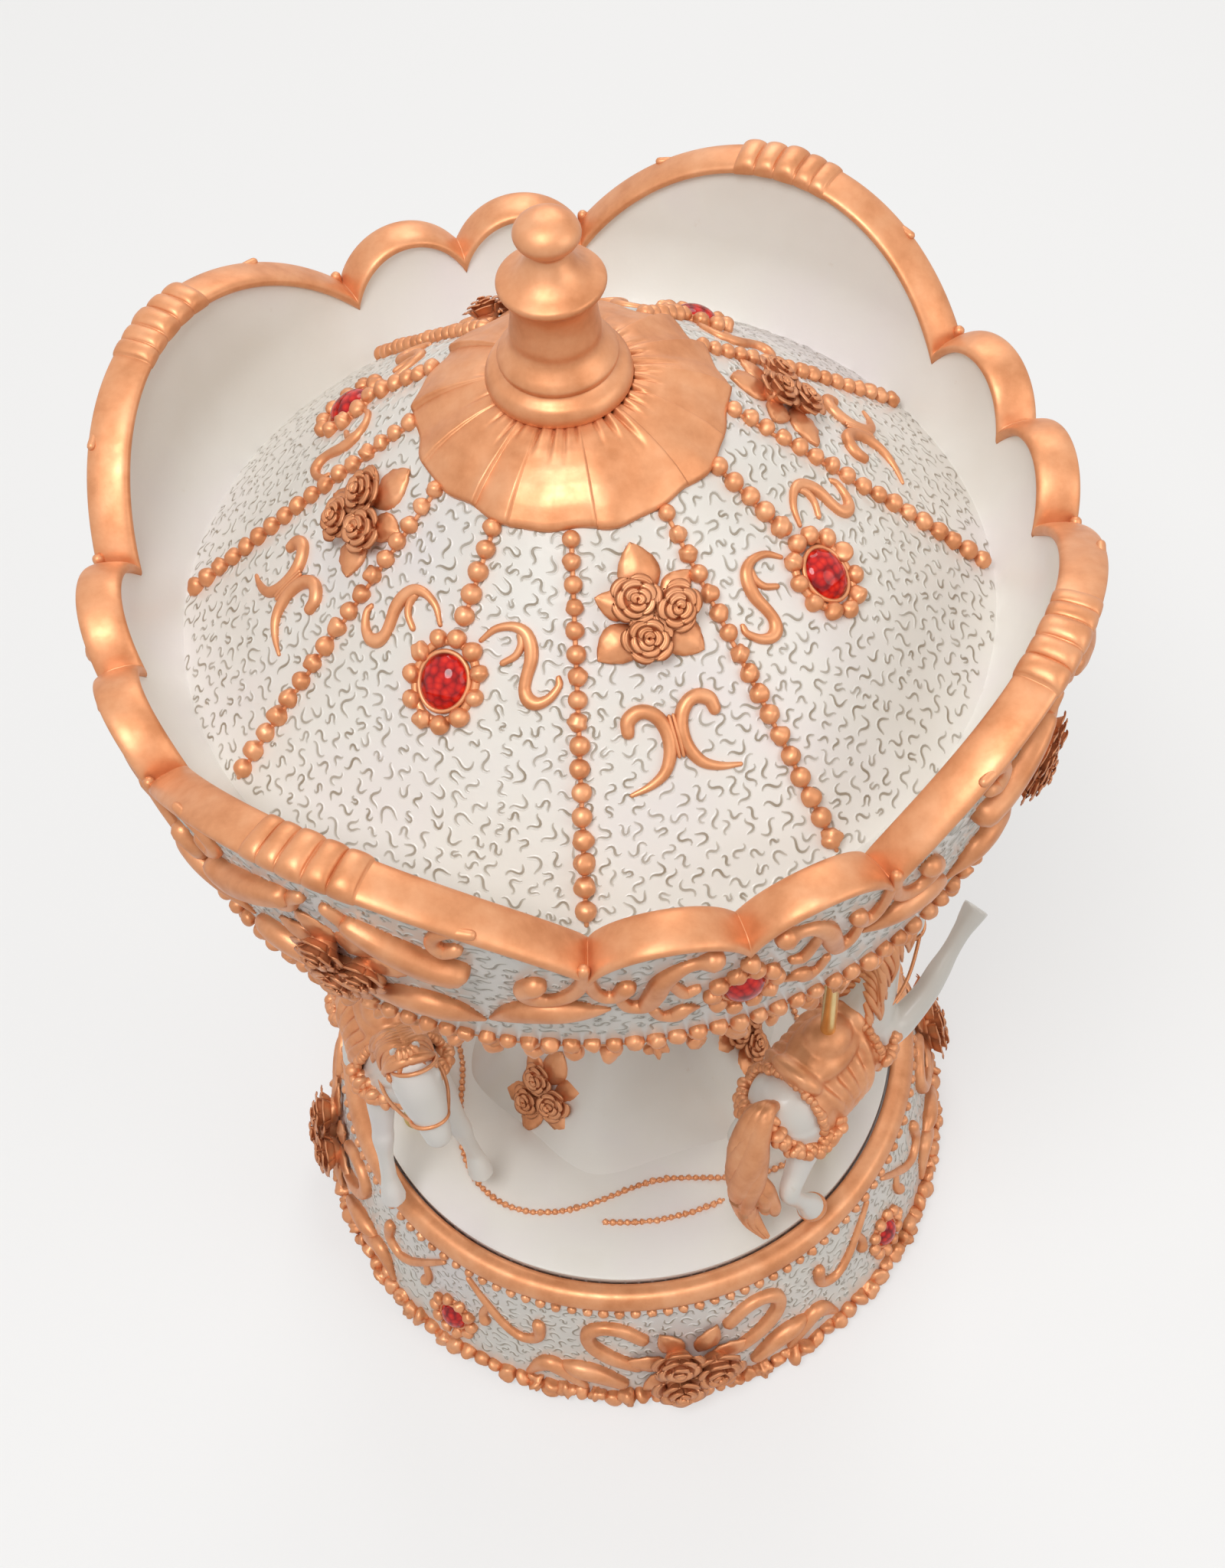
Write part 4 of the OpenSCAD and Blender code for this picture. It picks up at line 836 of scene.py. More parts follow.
def roof_texture():
    keep = [(CROWN_AZ + HALF_BAY + bay, ROOF.s_of_r(ROOF_GEM_R), ROOF_GEM_FREE) for bay in BAYS]
    roses = ROOF.s_of_r(ROOF_ROSE_R)
    keep += [(CROWN_AZ + ROOF_ROSE_AZ + bay, roses, ROOF_ROSE_FREE) for bay in BAYS]
    texture = engraving(ROOF, ROOF.s_of_r(CAP_R), ROOF.s_of_r(ROOF_R), keep)
    texture.make("roof_engraving", "carousel", "pearl")


# ---- canopy: cap and finial ----
CAP_NECK_R = 8.6
CAP_T = 0.9
SPIRE_OFF = (-1.1, 0, 0)
# Turned profile of the finial from its top, as r, height over the roof's inner edge
SPIRE = ((0.01, 32.3), (1.5, 32.15), (2.9, 31.6), (3.9, 30.7), (4.3, 29.6), (3.9, 28.5), (3.1, 27.75),
         (2.6, 27.1), (2.7, 26.5), (3.0, 25.9), (3.8, 24.7), (5.0, 23.6), (6.3, 22.9), (6.9, 22.5),
         (7.05, 22.0), (6.9, 21.55), (6.5, 21.2), (6.0, 20.4), (5.7, 19.2), (5.65, 17.6), (5.8, 16.0),
         (6.0, 14.6), (6.0, 13.5), (6.3, 12.6), (7.0, 11.7), (7.6, 11.0), (8.0, 10.3), (7.95, 9.7),
         (7.8, 9.3), (8.3, 8.8), (9.2, 8.2), (9.7, 7.3), (9.8, 6.4), (9.5, 5.6), (8.9, 5.0), (8.4, 4.4),
         (8.3, 0.5), (4.0, 0.0), (0.01, 0.0))


def gaps_round(a, k, count, jitter):
    """Angles a from the k-th of count places round a circle, each place a little off its spot."""
    return (a - TURN * (k + RNG.uniform(-jitter, jitter)) / count + np.pi) % TURN - np.pi


def pleated_cap():
    """Skirt of gathered cloth: short gathers at the neck, a few long folds that step down at one side."""
    a = around(900)
    t = np.linspace(0, 1, 40)
    edge = CAP_R + 0.5 + 0.32 * np.sin(9 * a + 0.6) + 0.2 * np.sin(17 * a)
    fall = np.interp(t, np.linspace(0, 1, 7), (5.6, 5.2, 4.5, 3.6, 2.5, 1.1, -0.8))
    z = roof_height(ROOF_IN) + np.tile(fall, (len(a), 1))
    for k in range(34):
        gap = gaps_round(a, k, 34, 0.3)
        deep = RNG.uniform(0.3, 0.75)
        reach = RNG.uniform(0.25, 0.6)
        width = RNG.uniform(0.018, 0.04)
        z -= np.outer(deep * np.exp(-(gap / width) ** 2), np.clip(1 - t / reach, 0, 1) ** 1.2)
        ridge = 0.5 * deep * np.exp(-((gap - 2.2 * width) / (1.6 * width)) ** 2)
        z += np.outer(ridge, np.clip(1 - t / reach, 0, 1))
    for k in range(13):
        gap = gaps_round(a, k, 13, 0.32)
        high = RNG.uniform(0.45, 1.0)
        span = RNG.uniform(0.16, 0.34)
        step = 1 / (1 + np.exp(np.minimum(gap * 260, 700)))
        fold = np.where(gap > 0, 0, np.clip(1 + gap / span, 0, 1) ** 1.3) * step
        z += np.outer(high * fold, np.clip(t * 1.3 - 0.1, 0, 1) ** 0.8)
        edge += 0.35 * high * fold
    z += np.outer(0.28 * np.sin(7 * a + 1), np.sin(np.pi * t) * t)
    r = CAP_NECK_R + (edge[:, None] - CAP_NECK_R) * t
    z[:, -1] -= 0.25
    top = round_axis(a, r, z)
    low = round_axis(a, np.minimum(r, r[:, -1:] - 0.35), z - CAP_T)[:, ::-1]
    verts = np.concatenate([top, low], 1)
    return verts.reshape(-1, 3), grid(*verts.shape[:2], wrap_rows=True, wrap_cols=True)[:, ::-1], None


def finial():
    foot = roof_height(ROOF_IN)
    v, q, _ = revolve([(r, z + foot) for r, z in smooth_profile(SPIRE)], 180)
    wobble = 1 + 0.006 * np.sin(np.arctan2(v[:, 1], v[:, 0]) * 3 + v[:, 2])
    shape = Shape().add(v * np.stack([wobble, wobble, np.ones(len(v))], -1) + SPIRE_OFF, q)
    shape.add(*pleated_cap())
    shape.make("finial_and_cap", "carousel", "copper", "finial")


# ---- canopy: outside of the wall ----
CROWN_GEM_Z = 176.0
CROWN_GEM_FREE = 5.5
CROWN_MID_Z = 178.0
CROWN_ENGRAVED_TO = 164.5
BOSS_ROSE_SIZE = 3.6
BOSS_TOP_ROSE_SIZE = 4.3
# Mount and stone of the wall and of the base, in the order of the roof's
WALL_MOUNT = (3.5, 3.0, 5.3, 4.5, 10, 2.65)
WALL_STONE = (3.55, 3.05, 2.3)
FRINGE_BEADS = 144
FRINGE_Z = 162.8
CORD_R = 66.0
CORD_Z = 161.2
DROP_R = 65.6
DROP_Z = 160.2
# Ornament of half a bay of the wall: x down from CROWN_MID_Z, y from the middle cusp, width
RIM_HOOK = ((-22.6, 34.8, 1.4), (-22.6, 37.2, 1.6), (-21, 39.3, 1.9), (-18.3, 40.0, 2.2),
            (-16.5, 38.8, 2.5), (-17.4, 37.2, 2.3))
UPPER_BAR = ((-17.0, 51.0, 3.0), (-15.4, 47.6, 3.8), (-13.4, 44.0, 4.2), (-11.6, 40.7, 4.3),
             (-10.6, 37.6, 4.1))
LOWER_LEAF = ((8.0, 50.4, 2.4), (5.0, 46.4, 4.2), (4.0, 42.4, 4.8), (5.2, 38.8, 4.0), (8.6, 35.2, 0.9))
V_VOLUTE = ((-12.5, 21.3, 1.8), (-8.0, 21.6, 2.1), (-4.4, 23.2, 2.2), (-2.4, 25.8, 2.2),
            (-3.2, 28.2, 2.4), (-6.0, 29.0, 2.9), (-8.0, 27.6, 3.4))
V_LEAF = ((7.6, 34.0, 0.9), (3.0, 31.0, 3.4), (0.6, 27.4, 4.5), (0.4, 23.6, 4.3), (1.6, 20.6, 2.6),
          (2.2, 18.2, 0.8))
V_HOOK = ((-10.0, 20.8, 1.8), (-6.0, 20.2, 1.9), (-3.4, 18.8, 2.0), (-3.6, 17.0, 2.2), (-6.2, 15.9, 2.7))
S_WAVE = ((-1.8, 16.8, 1.5), (0.8, 15.6, 2.0), (0.8, 13.4, 2.5), (-3.0, 12.2, 3.0), (-7.0, 11.2, 2.9),
          (-9.9, 9.0, 2.2), (-10.8, 6.8, 2.1), (-11.2, 5.0, 3.5))
S_CURL = ((-6.5, 10.6, 1.6), (-3.2, 9.4, 1.7), (-1.0, 8.2, 1.9), (-1.4, 6.8, 1.7))
SMALL_LEAF = ((4.2, 12.2, 1.6), (6.4, 11.2, 1.8), (6.4, 9.4, 2.6), (5.2, 8.0, 2.4), (6.2, 6.2, 0.8))
# Each piece with its height over its width and how square its section is
CROWN_PIECES = ((RIM_HOOK, 1.0, 1.0), (UPPER_BAR, 1.15, 0.62), (LOWER_LEAF, 0.8, 0.8),
                (V_VOLUTE, 1.0, 1.0), (V_LEAF, 0.8, 0.85), (V_HOOK, 1.0, 1.0), (S_WAVE, 0.95, 0.85),
                (S_CURL, 1.0, 1.0), (SMALL_LEAF, 0.8, 1.0))
BOSS_VOLUTE = ((-17.0, 2.0, 2.0), (-15.2, 3.6, 2.2), (-12.6, 4.6, 2.4), (-11.2, 6.4, 2.4),
               (-12.6, 8.0, 2.3), (-14.6, 7.6, 2.2))
BOSS_LEAVES = ((150, 8.0, 6.4), (205, 8.2, 6.4), (100, 7.4, 5.4), (262, 7.4, 5.4), (30, 6.0, 5.0),
               (-30, 6.0, 5.0))


def wall_gem(mounts, stones, on):
    """Stone in its ring of beads, the same on the canopy's wall and on the base."""
    mounts.place(gem_mount(*WALL_MOUNT), on)
    stones.place(stone(*WALL_STONE), on)


def place_pieces(shape, pieces, on):
    """Scrolls and leaves with their mirror images."""
    for flip in (False, True):
        for points, height, square in pieces:
            shape.place(moved(bar(points, height, 0.35, square), flip=flip), on)


def crown_details():
    scrolls, roses, mounts, stones = Shape(), Shape(), Shape(), Shape()
    for bay in BAYS:
        az = CROWN_AZ + bay
        gem = CROWN.wrapped(az, CROWN.s_of_z(CROWN_GEM_Z))
        wall_gem(mounts, stones, gem)
        mounts.place(ball(1.35, 0.9, 0.98, at=(-8.6, 0.3)), gem)
        place_pieces(scrolls, CROWN_PIECES, CROWN.wrapped(az, CROWN.s_of_z(CROWN_MID_Z)))
        boss = CROWN.wrapped(az + HALF_BAY, CROWN.s_of_z(CROWN_MID_Z + 2))
        place_pieces(scrolls, ((BOSS_VOLUTE, 1.0, 1.0),), boss)
        roses.place(rose_cluster(BOSS_ROSE_SIZE, BOSS_LEAVES), boss)
        roses.place(moved(rose(BOSS_TOP_ROSE_SIZE), x=3.4, z=1.2), boss)
    scrolls.make("canopy_curls", "carousel", "copper", "crown_scrolls")
    roses.make("canopy_flowers", "carousel", "copper", "crown_roses")
    mounts.make("canopy_stone_mounts", "carousel", "copper", "crown_gem_settings")
    stones.make("canopy_stones", "carousel", "ruby", "crown_gems")


def bead_fringe():
    """Row of beads round the wall's foot, a cord under it, and drops of three beads below."""
    shape = Shape()
    for k in range(FRINGE_BEADS):
        az = CROWN_AZ + 360 * k / FRINGE_BEADS
        r = 1.3 * RNG.uniform(0.93, 1.06)
        bead = ball(r, r * 0.35)
        shape.place(bead, CROWN.wrapped(az, CROWN.s_of_z(FRINGE_Z + RNG.normal(0, 0.1))))
        if k % 2:
            continue
        for down, size in ((0, 1.3), (-1.5, 1.1), (-3.0, 1.55)):
            v, q, t = ball(size * RNG.uniform(0.92, 1.08), dents=0.12)
            shape.add(v + on_circle(DROP_R, az + RNG.normal(0, 0.15), DROP_Z + down), q, t)
    a = np.linspace(0, TURN, 200)
    path = np.column_stack([CORD_R * np.cos(a), CORD_R * np.sin(a), np.full(len(a), CORD_Z)])
    shape.add(*tube(path, 0.9, 8))
    shape.make("hanging_beads", "carousel", "copper", "bead_fringe")


def under_rim(az):
    """Height that the wall's engraving may reach in directions az."""
    return rim_top(az)[0] - BAND_T - 1.0


def crown_texture():
    keep = [(CROWN_AZ + bay, CROWN.s_of_z(CROWN_GEM_Z), CROWN_GEM_FREE) for bay in BAYS]
    low = CROWN.s_of_z(CROWN_ENGRAVED_TO)
    texture = engraving(CROWN, CROWN.s_of_z(BIG_ARCH_Z), low, keep, under_rim)
    texture.make("canopy_engraving", "carousel", "pearl")


# ---- base ----
BASE_MID_Z = 17.0
BASE_GEM_Z = 13.5
BASE_GEM_FREE = 5
BASE_ROSE_Z = 14.5
BASE_ROSE_SIZE = 4.9
BASE_ROSE_FREE = 8
BASE_ENGRAVED = (32, 6)
FOOT_BEADS = 132
FOOT_BEAD_Z = 3.4
FINE_BEADS = 120
FINE_BEAD_Z = 32.6
RING_MID_R = BASE_TOP_R - 1.8
# Outline of the base's ring from inside to outside: out of RING_MID_R, height
RING = ((-2.35, 34.0), (-2.35, 36.1), (-2.0, 36.8), (-1.1, 37.1), (0.3, 37.1), (1.3, 36.6), (2.0, 35.6),
        (2.35, 34.6), (2.35, 34.0))
# Ornament of half a bay of the flank: x down from BASE_MID_Z, y from the rose cluster, width
STRAND = ((-13.6, 44.0, 1.3), (-8.6, 40.6, 1.7), (-3.8, 37.0, 2.0), (-1.6, 33.4, 2.1), (-3.6, 29.8, 2.3),
          (-8.0, 29.2, 2.7))
STRAND_CURL = ((-7.4, 40.4, 1.4), (-4.2, 41.8, 1.8), (-2.2, 41.6, 2.6))
CORNER_C = ((-7.0, 8.6, 2.6), (-10.6, 12.4, 2.8), (-11.2, 16.4, 2.8), (-8.8, 19.2, 2.9),
            (-4.8, 18.8, 3.0), (-0.8, 15.4, 3.0), (2.6, 10.4, 2.6))
FOOT_LEAF = ((11.0, 33.4, 1.4), (6.4, 30.4, 3.0), (4.6, 27.6, 3.8), (7.4, 24.4, 3.2), (11.5, 21.8, 1.8))
SIDE_LEAF = ((9.0, 14.0, 3.0), (5.6, 18.4, 4.2), (4.6, 22.4, 4.2), (4.8, 26.4, 1.6))
BASE_PIECES = ((STRAND, 1.0, 1.0), (STRAND_CURL, 1.0, 1.0), (CORNER_C, 1.05, 0.75), (FOOT_LEAF, 0.9, 0.9),
               (SIDE_LEAF, 0.9, 0.8))
BASE_LEAVES = ((0, 8.5, 5.4), (48, 9, 5), (95, 9.5, 5), (150, 8.5, 5), (205, 8.5, 5), (262, 9.5, 5),
               (310, 9, 5))


def base_details():
    scrolls, roses, mounts, stones, foot = Shape(), Shape(), Shape(), Shape(), Shape()
    for bay in BAYS:
        az = BASE_ROSE_AZ + bay
        cluster = FLANK.wrapped(az, FLANK.s_of_z(BASE_ROSE_Z))
        roses.place(moved(rose_cluster(BASE_ROSE_SIZE, BASE_LEAVES), z=0.8), cluster)
        wall_gem(mounts, stones, FLANK.wrapped(az + HALF_BAY, FLANK.s_of_z(BASE_GEM_Z)))
        place_pieces(scrolls, BASE_PIECES, FLANK.wrapped(az, FLANK.s_of_z(BASE_MID_Z)))
    for k in range(FOOT_BEADS):
        r = 1.9 * RNG.uniform(0.8, 1.1)
        bead = ball(r, r * 0.25, dents=0.14)
        s = FLANK.s_of_z(FOOT_BEAD_Z + RNG.normal(0, 0.35))
        foot.place(bead, FLANK.wrapped(360 * k / FOOT_BEADS, s))
    scrolls.make("base_curls", "base", "copper", "base_scrolls")
    roses.make("base_flowers", "base", "copper", "base_roses")
    mounts.make("base_stone_mounts", "base", "copper", "base_gem_settings")
    stones.make("base_stones", "base", "ruby", "base_gems")
    foot.make("base_foot_row", "base", "copper", "base_foot_beads")


def base_ring():
    profile = smooth_profile([(RING_MID_R + out, z) for out, z in RING], 3)
    v, q, _ = revolve(profile[::-1] + [profile[0]], 240)
    Shape().add(v, q[:, ::-1]).make("base_rim_ring", "base", "copper", "base_ring")
    beads = Shape()
    for k in range(FINE_BEADS):
        bead = ball(RNG.uniform(0.93, 1.06), 0.15)
        beads.place(bead, FLANK.wrapped(360 * k / FINE_BEADS, FLANK.s_of_z(FINE_BEAD_Z)))
    beads.make("base_fine_beads", "base", "copper", "base_bead_row")


def base_texture():
    keep = [(BASE_ROSE_AZ + bay, FLANK.s_of_z(14), BASE_ROSE_FREE) for bay in BAYS]
    keep += [(BASE_ROSE_AZ + HALF_BAY + bay, FLANK.s_of_z(BASE_GEM_Z), BASE_GEM_FREE) for bay in BAYS]
    start, end = (FLANK.s_of_z(z) for z in BASE_ENGRAVED)
    texture = engraving(FLANK, start, end, keep)
    texture.make("base_engraving", "base", "pearl")


# ---- turntable and column ----
DISC_TOP = TABLE_TOP + 0.04
COLUMN_H = CEILING_Z - TABLE_TOP
COLUMN_LEAVES = ((180, 8.4, 6.0), (235, 8.0, 5.6), (125, 8.2, 6.0), (60, 7.4, 5.2), (0, 7.2, 4.8),
                 (-55, 9.0, 5.0))
COLUMN_ROSE_SIZE = 3.3
THREAD_BEAD_R = 0.62
THREAD_PITCH = 1.45
THIRDS = (0, 120, 240)


def column_radius(u):
    """Radius of the column's ridges at a share u of its height."""
    under = np.clip(1 - u / COLUMN_WAIST_U, 0, 1) ** 2.6
    over = np.clip((u - COLUMN_WAIST_U) / (1 - COLUMN_WAIST_U), 0, 1) ** 2.4
    low = COLUMN_WAIST_R + (COLUMN_FOOT_R - COLUMN_WAIST_R) * under
    return np.where(u < COLUMN_WAIST_U, low, COLUMN_WAIST_R + (COLUMN_HEAD_R - COLUMN_WAIST_R) * over)


def column():
    u = np.linspace(0, 1, 90) ** 1.4
    a = around(240)
    flutes = 1 - COLUMN_FLUTING * np.abs(np.cos(COLUMN_PANELS * a / 2))[:, None] ** 1.5
    skin = round_axis(a + math.radians(CROWN_AZ), column_radius(u)[None] * flutes, TABLE_TOP + u * COLUMN_H)
    shaft = Shape().add(skin, grid(*skin.shape[:2], wrap_rows=True))
    shaft.make("column_shaft", "carousel", "pearl", "column")
    roses = Shape()
    us = np.linspace(0.5, 0, 60)
    foot = Surface(column_radius(us) * (1 - COLUMN_FLUTING), TABLE_TOP + us * COLUMN_H)
    for third in THIRDS:
        on = foot.wrapped(CROWN_AZ - 60 + third, foot.s_of_z(TABLE_TOP + COLUMN_ROSE_U * COLUMN_H))
        roses.place(rose_cluster(COLUMN_ROSE_SIZE, COLUMN_LEAVES), on)
    roses.make("column_flowers", "carousel", "copper", "column_roses")


def bead_strand(shape, az, r):
    """Fine beads on a thread that lies on the turntable in directions az at radii r."""
    path = np.column_stack([r * np.cos(np.radians(az)), r * np.sin(np.radians(az)),
                            np.full(len(az), TABLE_TOP + 0.1)])
    shape.add(*tube(path, 0.32, 6))
    length = np.concatenate([[0], np.cumsum(np.linalg.norm(np.diff(path, axis=0), axis=1))])
    for s in np.arange(0, length[-1], THREAD_PITCH):
        at = [np.interp(s, length, path[:, axis]) for axis in range(3)]
        v, q, t = ball(THREAD_BEAD_R * RNG.uniform(0.9, 1.1), 0.2, dents=0.08)
        shape.add(v + at, q, t)


def turntable():
    profile = [(0.01, DISC_TOP), (40, DISC_TOP), (54.2, DISC_TOP), (54.5, TABLE_TOP - 0.06),
               (TABLE_R, TABLE_TOP - 0.3), (TABLE_R, TABLE_TOP - TABLE_T), (0.01, TABLE_TOP - TABLE_T)]
    Shape().add(*revolve(profile, 240)).make("turntable_disc", "carousel", "pearl")
    beads = Shape()
    az = np.linspace(0, 360, 361)
    bead_strand(beads, az, COLUMN_FOOT_R + 6.9 - 5.5 * np.cos(np.radians(4 * (az - BASE_ROSE_AZ))))
    arc = np.linspace(-16, 16, 33)
    for bay in BAYS:
        bead_strand(beads, BASE_ROSE_AZ + bay + arc, COLUMN_FOOT_R + 9.6)
    beads.make("column_bead_line", "carousel", "copper", "turntable_beads")


# ---- horses: x forward, y toward the axis, z up from the back ----
def stations(places, sizes):
    """Stations x, y, z, half width, half height."""
    return [(*place, *size) for place, size in zip(places, sizes)]


# Stations: x, y, z, half width, half height; the first eight of the body are its barrel
BARREL_STATIONS = 8
BODY = ((-17.4, 0, -6.2, 1.6, 2.0), (-16.4, 0, -6.3, 4.2, 4.4), (-13.4, 0, -6.5, 6.6, 6.6),
        (-9, 0, -7.1, 7.2, 7.1), (-3, 0, -8.0, 6.9, 6.9), (2, 0, -7.8, 6.9, 6.8), (6.5, 0, -6.2, 6.9, 7.3),
        (10.6, 0, -1.8, 5.9, 7.0), (13.5, 0, 4.6, 4.1, 5.8), (15.6, 0.4, 10.6, 3.2, 4.9),
        (17.4, 0.8, 15.6, 2.9, 4.4), (19.6, 1.2, 18.4, 2.6, 3.4), (21.6, 1.4, 19.4, 1.5, 1.8))
HEAD = ((18.4, 1.2, 18.8, 1.9, 2.4), (20.2, 1.4, 17.8, 3.6, 4.1), (22.6, 1.7, 14.2, 4.3, 4.4),
        (24.6, 2.0, 10.2, 4.0, 3.5), (26.2, 2.3, 6.4, 3.1, 2.8), (27.4, 2.5, 3.4, 2.7, 2.5),
        (28.2, 2.6, 1.2, 2.2, 1.9), (28.5, 2.6, 0.2, 0.9, 0.9))
SHIN = ((1.6, 1.8), (1.6, 1.8), (1.9, 2.1), (2.2, 2.4), (2.6, 2.8))
FORE_SIZES = ((3.4, 4.4), (2.9, 3.3), (2.2, 2.4), (2.2, 2.4), *SHIN)
HIND_SIZES = ((3.8, 6.0), (3.4, 4.6), (2.4, 2.9), (2.0, 2.3), *SHIN)
FORE_OUT = stations(((8, -4.2, -5), (10.5, -5.4, -11), (12.6, -6.6, -18), (13.6, -7.2, -21),
                     (14.8, -7.8, -26), (16.2, -8.4, -32), (16.9, -8.6, -34.4), (17.4, -8.7, -36),
                     (18, -8.8, -39)), FORE_SIZES)
FORE_IN = stations(((8, 4.2, -5), (11.6, 5.4, -10.6), (15.6, 6.6, -17), (17, 7.2, -20),
                    (17.4, 7.8, -25), (17.8, 8.4, -30), (18.4, 8.6, -32.2), (19, 8.7, -33.8),
                    (19.8, 8.8, -36.6)), FORE_SIZES)
FORE_RAISED = ((8, -4.2, -5, 3.4, 4.4), (14, -5.6, -6.4, 3, 3.4), (20.4, -6.6, -3.2, 2.4, 2.7),
               (24.6, -6.6, 0.2, 2.2, 2.5), (28.6, -6.4, 3.2, 1.7, 1.9), (32, -6.2, 5.6, 1.8, 2.0),
               (34, -6.1, 6.8, 2.2, 2.4), (36.4, -6.0, 8.2, 2.6, 2.8))
HIND_OUT = stations(((-10.5, -4.0, -7), (-11.5, -5.2, -13.5), (-15.5, -6.4, -19), (-18.6, -7.2, -23),
                     (-17.2, -7.8, -28), (-15.6, -8.2, -32), (-14.8, -8.4, -34), (-14.2, -8.5, -35.6),
                     (-13.2, -8.6, -38.4)), HIND_SIZES)
HIND_IN = [(x + 2.4, -y, z + 0.6, w, h) for x, y, z, w, h in HIND_OUT]
# Middle lines of the hair and the garlands
TAIL = ((-15.2, 0, -1.8), (-17.8, 0, 0.6), (-20.6, 0.2, -2.5), (-22.8, 0, -9), (-24.0, -0.6, -17),
        (-24.4, -1.2, -25), (-25.2, -2.8, -31), (-24.6, -6.6, -34.6))
TAIL_SIZES = (1.4, 2.2, 3.4, 4.5, 4.6, 3.6, 2.6, 1.5)
LOCK = ((-23.4, -1.0, -13), (-23.2, -4.0, -20), (-22.6, -5.4, -26), (-21.0, -6.0, -29.5))
LOCK_SIZES = (1.6, 2.8, 2.6, 1.2)
CREST = ((7.4, 0, 1.2), (9.6, 0, 7.4), (11.6, 0.3, 13.4), (14.4, 0.7, 18.6), (18.2, 1.1, 21.4),
         (21.4, 1.4, 21.2))
RUMP_GARLAND = ((-17.4, 0, -3.0), (-17.4, 4.4, -7.0), (-15.0, 7.6, -10.6), (-11.0, 8.8, -11.6),
                (-7.0, 9.0, -10.4))
CHEST_GARLAND = ((15.2, 0, -7.5), (13.6, 4.6, -6.0), (11.0, 7.0, -5.0), (7.4, 8.4, -5.6))
SADDLE_ENDS = (-10.5, 6.5)
SADDLE_REACH = 128


def loft(points, sides=24, per=5):
    """Closed skin through smooth stations."""
    line = smooth(points, per)
    line[:, 3:] = np.maximum(line[:, 3:], 0.05)
    ahead = np.gradient(line[:, :3], axis=0)
    ahead[:, 1] = 0
    ahead /= np.linalg.norm(ahead, axis=1)[:, None]
    t = around(sides)
    high = np.sin(t)
    x = line[:, 0, None] - ahead[:, 2, None] * high * line[:, 4, None]
    y = line[:, 1, None] + np.cos(t) * line[:, 3, None]
    z = line[:, 2, None] + ahead[:, 0, None] * high * line[:, 4, None]
    verts = np.vstack([np.stack([x, y, z], -1).reshape(-1, 3), line[0, :3], line[-1, :3]])
    return verts, grid(len(line), sides, wrap_cols=True), end_fans(len(line), sides)[:, ::-1]


def fused(parts, voxel, softening):
    """One skin round overlapping parts, as a part."""
    verts, quads, tris = merge(*parts)
    mesh = bpy.data.meshes.new("temporary")
    mesh.from_pydata(verts.tolist(), [], quads.tolist() + tris.tolist())
    obj = bpy.data.objects.new("temporary", mesh)
    bpy.context.collection.objects.link(obj)
    remesh = obj.modifiers.new("skin", "REMESH")
    remesh.mode = "VOXEL"
    remesh.voxel_size = voxel
    soften = obj.modifiers.new("soft", "SMOOTH")
    soften.factor = 0.6
    soften.iterations = softening
    evaluated = obj.evaluated_get(bpy.context.evaluated_depsgraph_get())
    made = evaluated.to_mesh()
    verts = np.zeros(len(made.vertices) * 3)
    made.vertices.foreach_get("co", verts)
    faces = [tuple(face.vertices) for face in made.polygons]
    evaluated.to_mesh_clear()
    bpy.data.objects.remove(obj)
    bpy.data.meshes.remove(mesh)
    quads = [face for face in faces if len(face) == 4]
    tris = [face for face in faces if len(face) == 3]
    return verts.reshape(-1, 3), quads, tris


def horse_body(raised):
    """Overlapping parts of a horse, with its outer foreleg raised or on the ground."""
    parts = [loft(BODY), loft(HEAD)]
    for leg in (FORE_RAISED if raised else FORE_OUT, FORE_IN, HIND_OUT, HIND_IN):
        parts.append(loft(leg, 18))
    for side in (-1, 1):
        haunch = blob(-11, side * 3.6, -7.5, 5.4, 3.8, 6.4)
        shoulder = blob(8.4, side * 3.2, -6, 4.0, 3.6, 6.2)
        cheek = blob(22.3, 1.7 + side * 3.0, 13.6, 2.4, 1.4, 2.9, -25)
        eye = blob(23.0, 1.7 + side * 3.7, 15.8, 1.0, 0.8, 0.9)
        ear = loft([(19.9, 1.3 + side * 1.7, 20.0, 0.9, 0.7), (19.7, 1.3 + side * 1.9, 22.0, 1.0, 0.6),
                    (20.4, 1.3 + side * 1.9, 24.2, 0.25, 0.2)], 12, 3)
        nostril = blob(28.4, 2.5 + side * 1.35, 2.2, 0.7, 0.6, 1.0)
        parts += [haunch, shoulder, cheek, eye, ear, nostril]
    parts.append(blob(27.1, 2.4, 0.6, 1.5, 1.5, 1.2))
    return parts


def strands(root, count, sizes, twist, curl_out):
    """Bundle of tapered strands twisting along a path; sizes gives the bundle's radius along it."""
    root = np.array(root, float)
    t = np.linspace(0, 1, 26)
    key = np.linspace(0, 1, len(root))
    centre = np.stack([np.interp(t, key, root[:, k]) for k in range(3)], -1)
    for _ in range(3):
        centre[1:-1] = (centre[:-2] + centre[1:-1] * 2 + centre[2:]) / 4
    radius = np.interp(t, np.linspace(0, 1, len(sizes)), sizes)
    parts = []
    for k in range(count):
        start = TURN * k / count + RNG.uniform(-0.3, 0.3)
        out = (radius * (RNG.uniform(0.55, 1.0) * 0.5))[:, None]
        a = start + np.radians(twist) * t + 0.5 * np.sin(t * 7 + k)
        path = centre + np.stack([0 * t, np.cos(a), np.sin(a)], -1) * out
        path += np.stack([np.sin(a) * 0.6, 0 * t, 0 * t], -1) * out
        path[:, 0] -= curl_out * np.clip(t - 0.8, 0, 1) ** 2 * 18
        thick = radius * (0.62 - 0.03 * (k % 3)) * (1 - t ** 5 * 0.7)
        parts.append(tube(path, np.maximum(thick, 0.18), 14))
    return parts


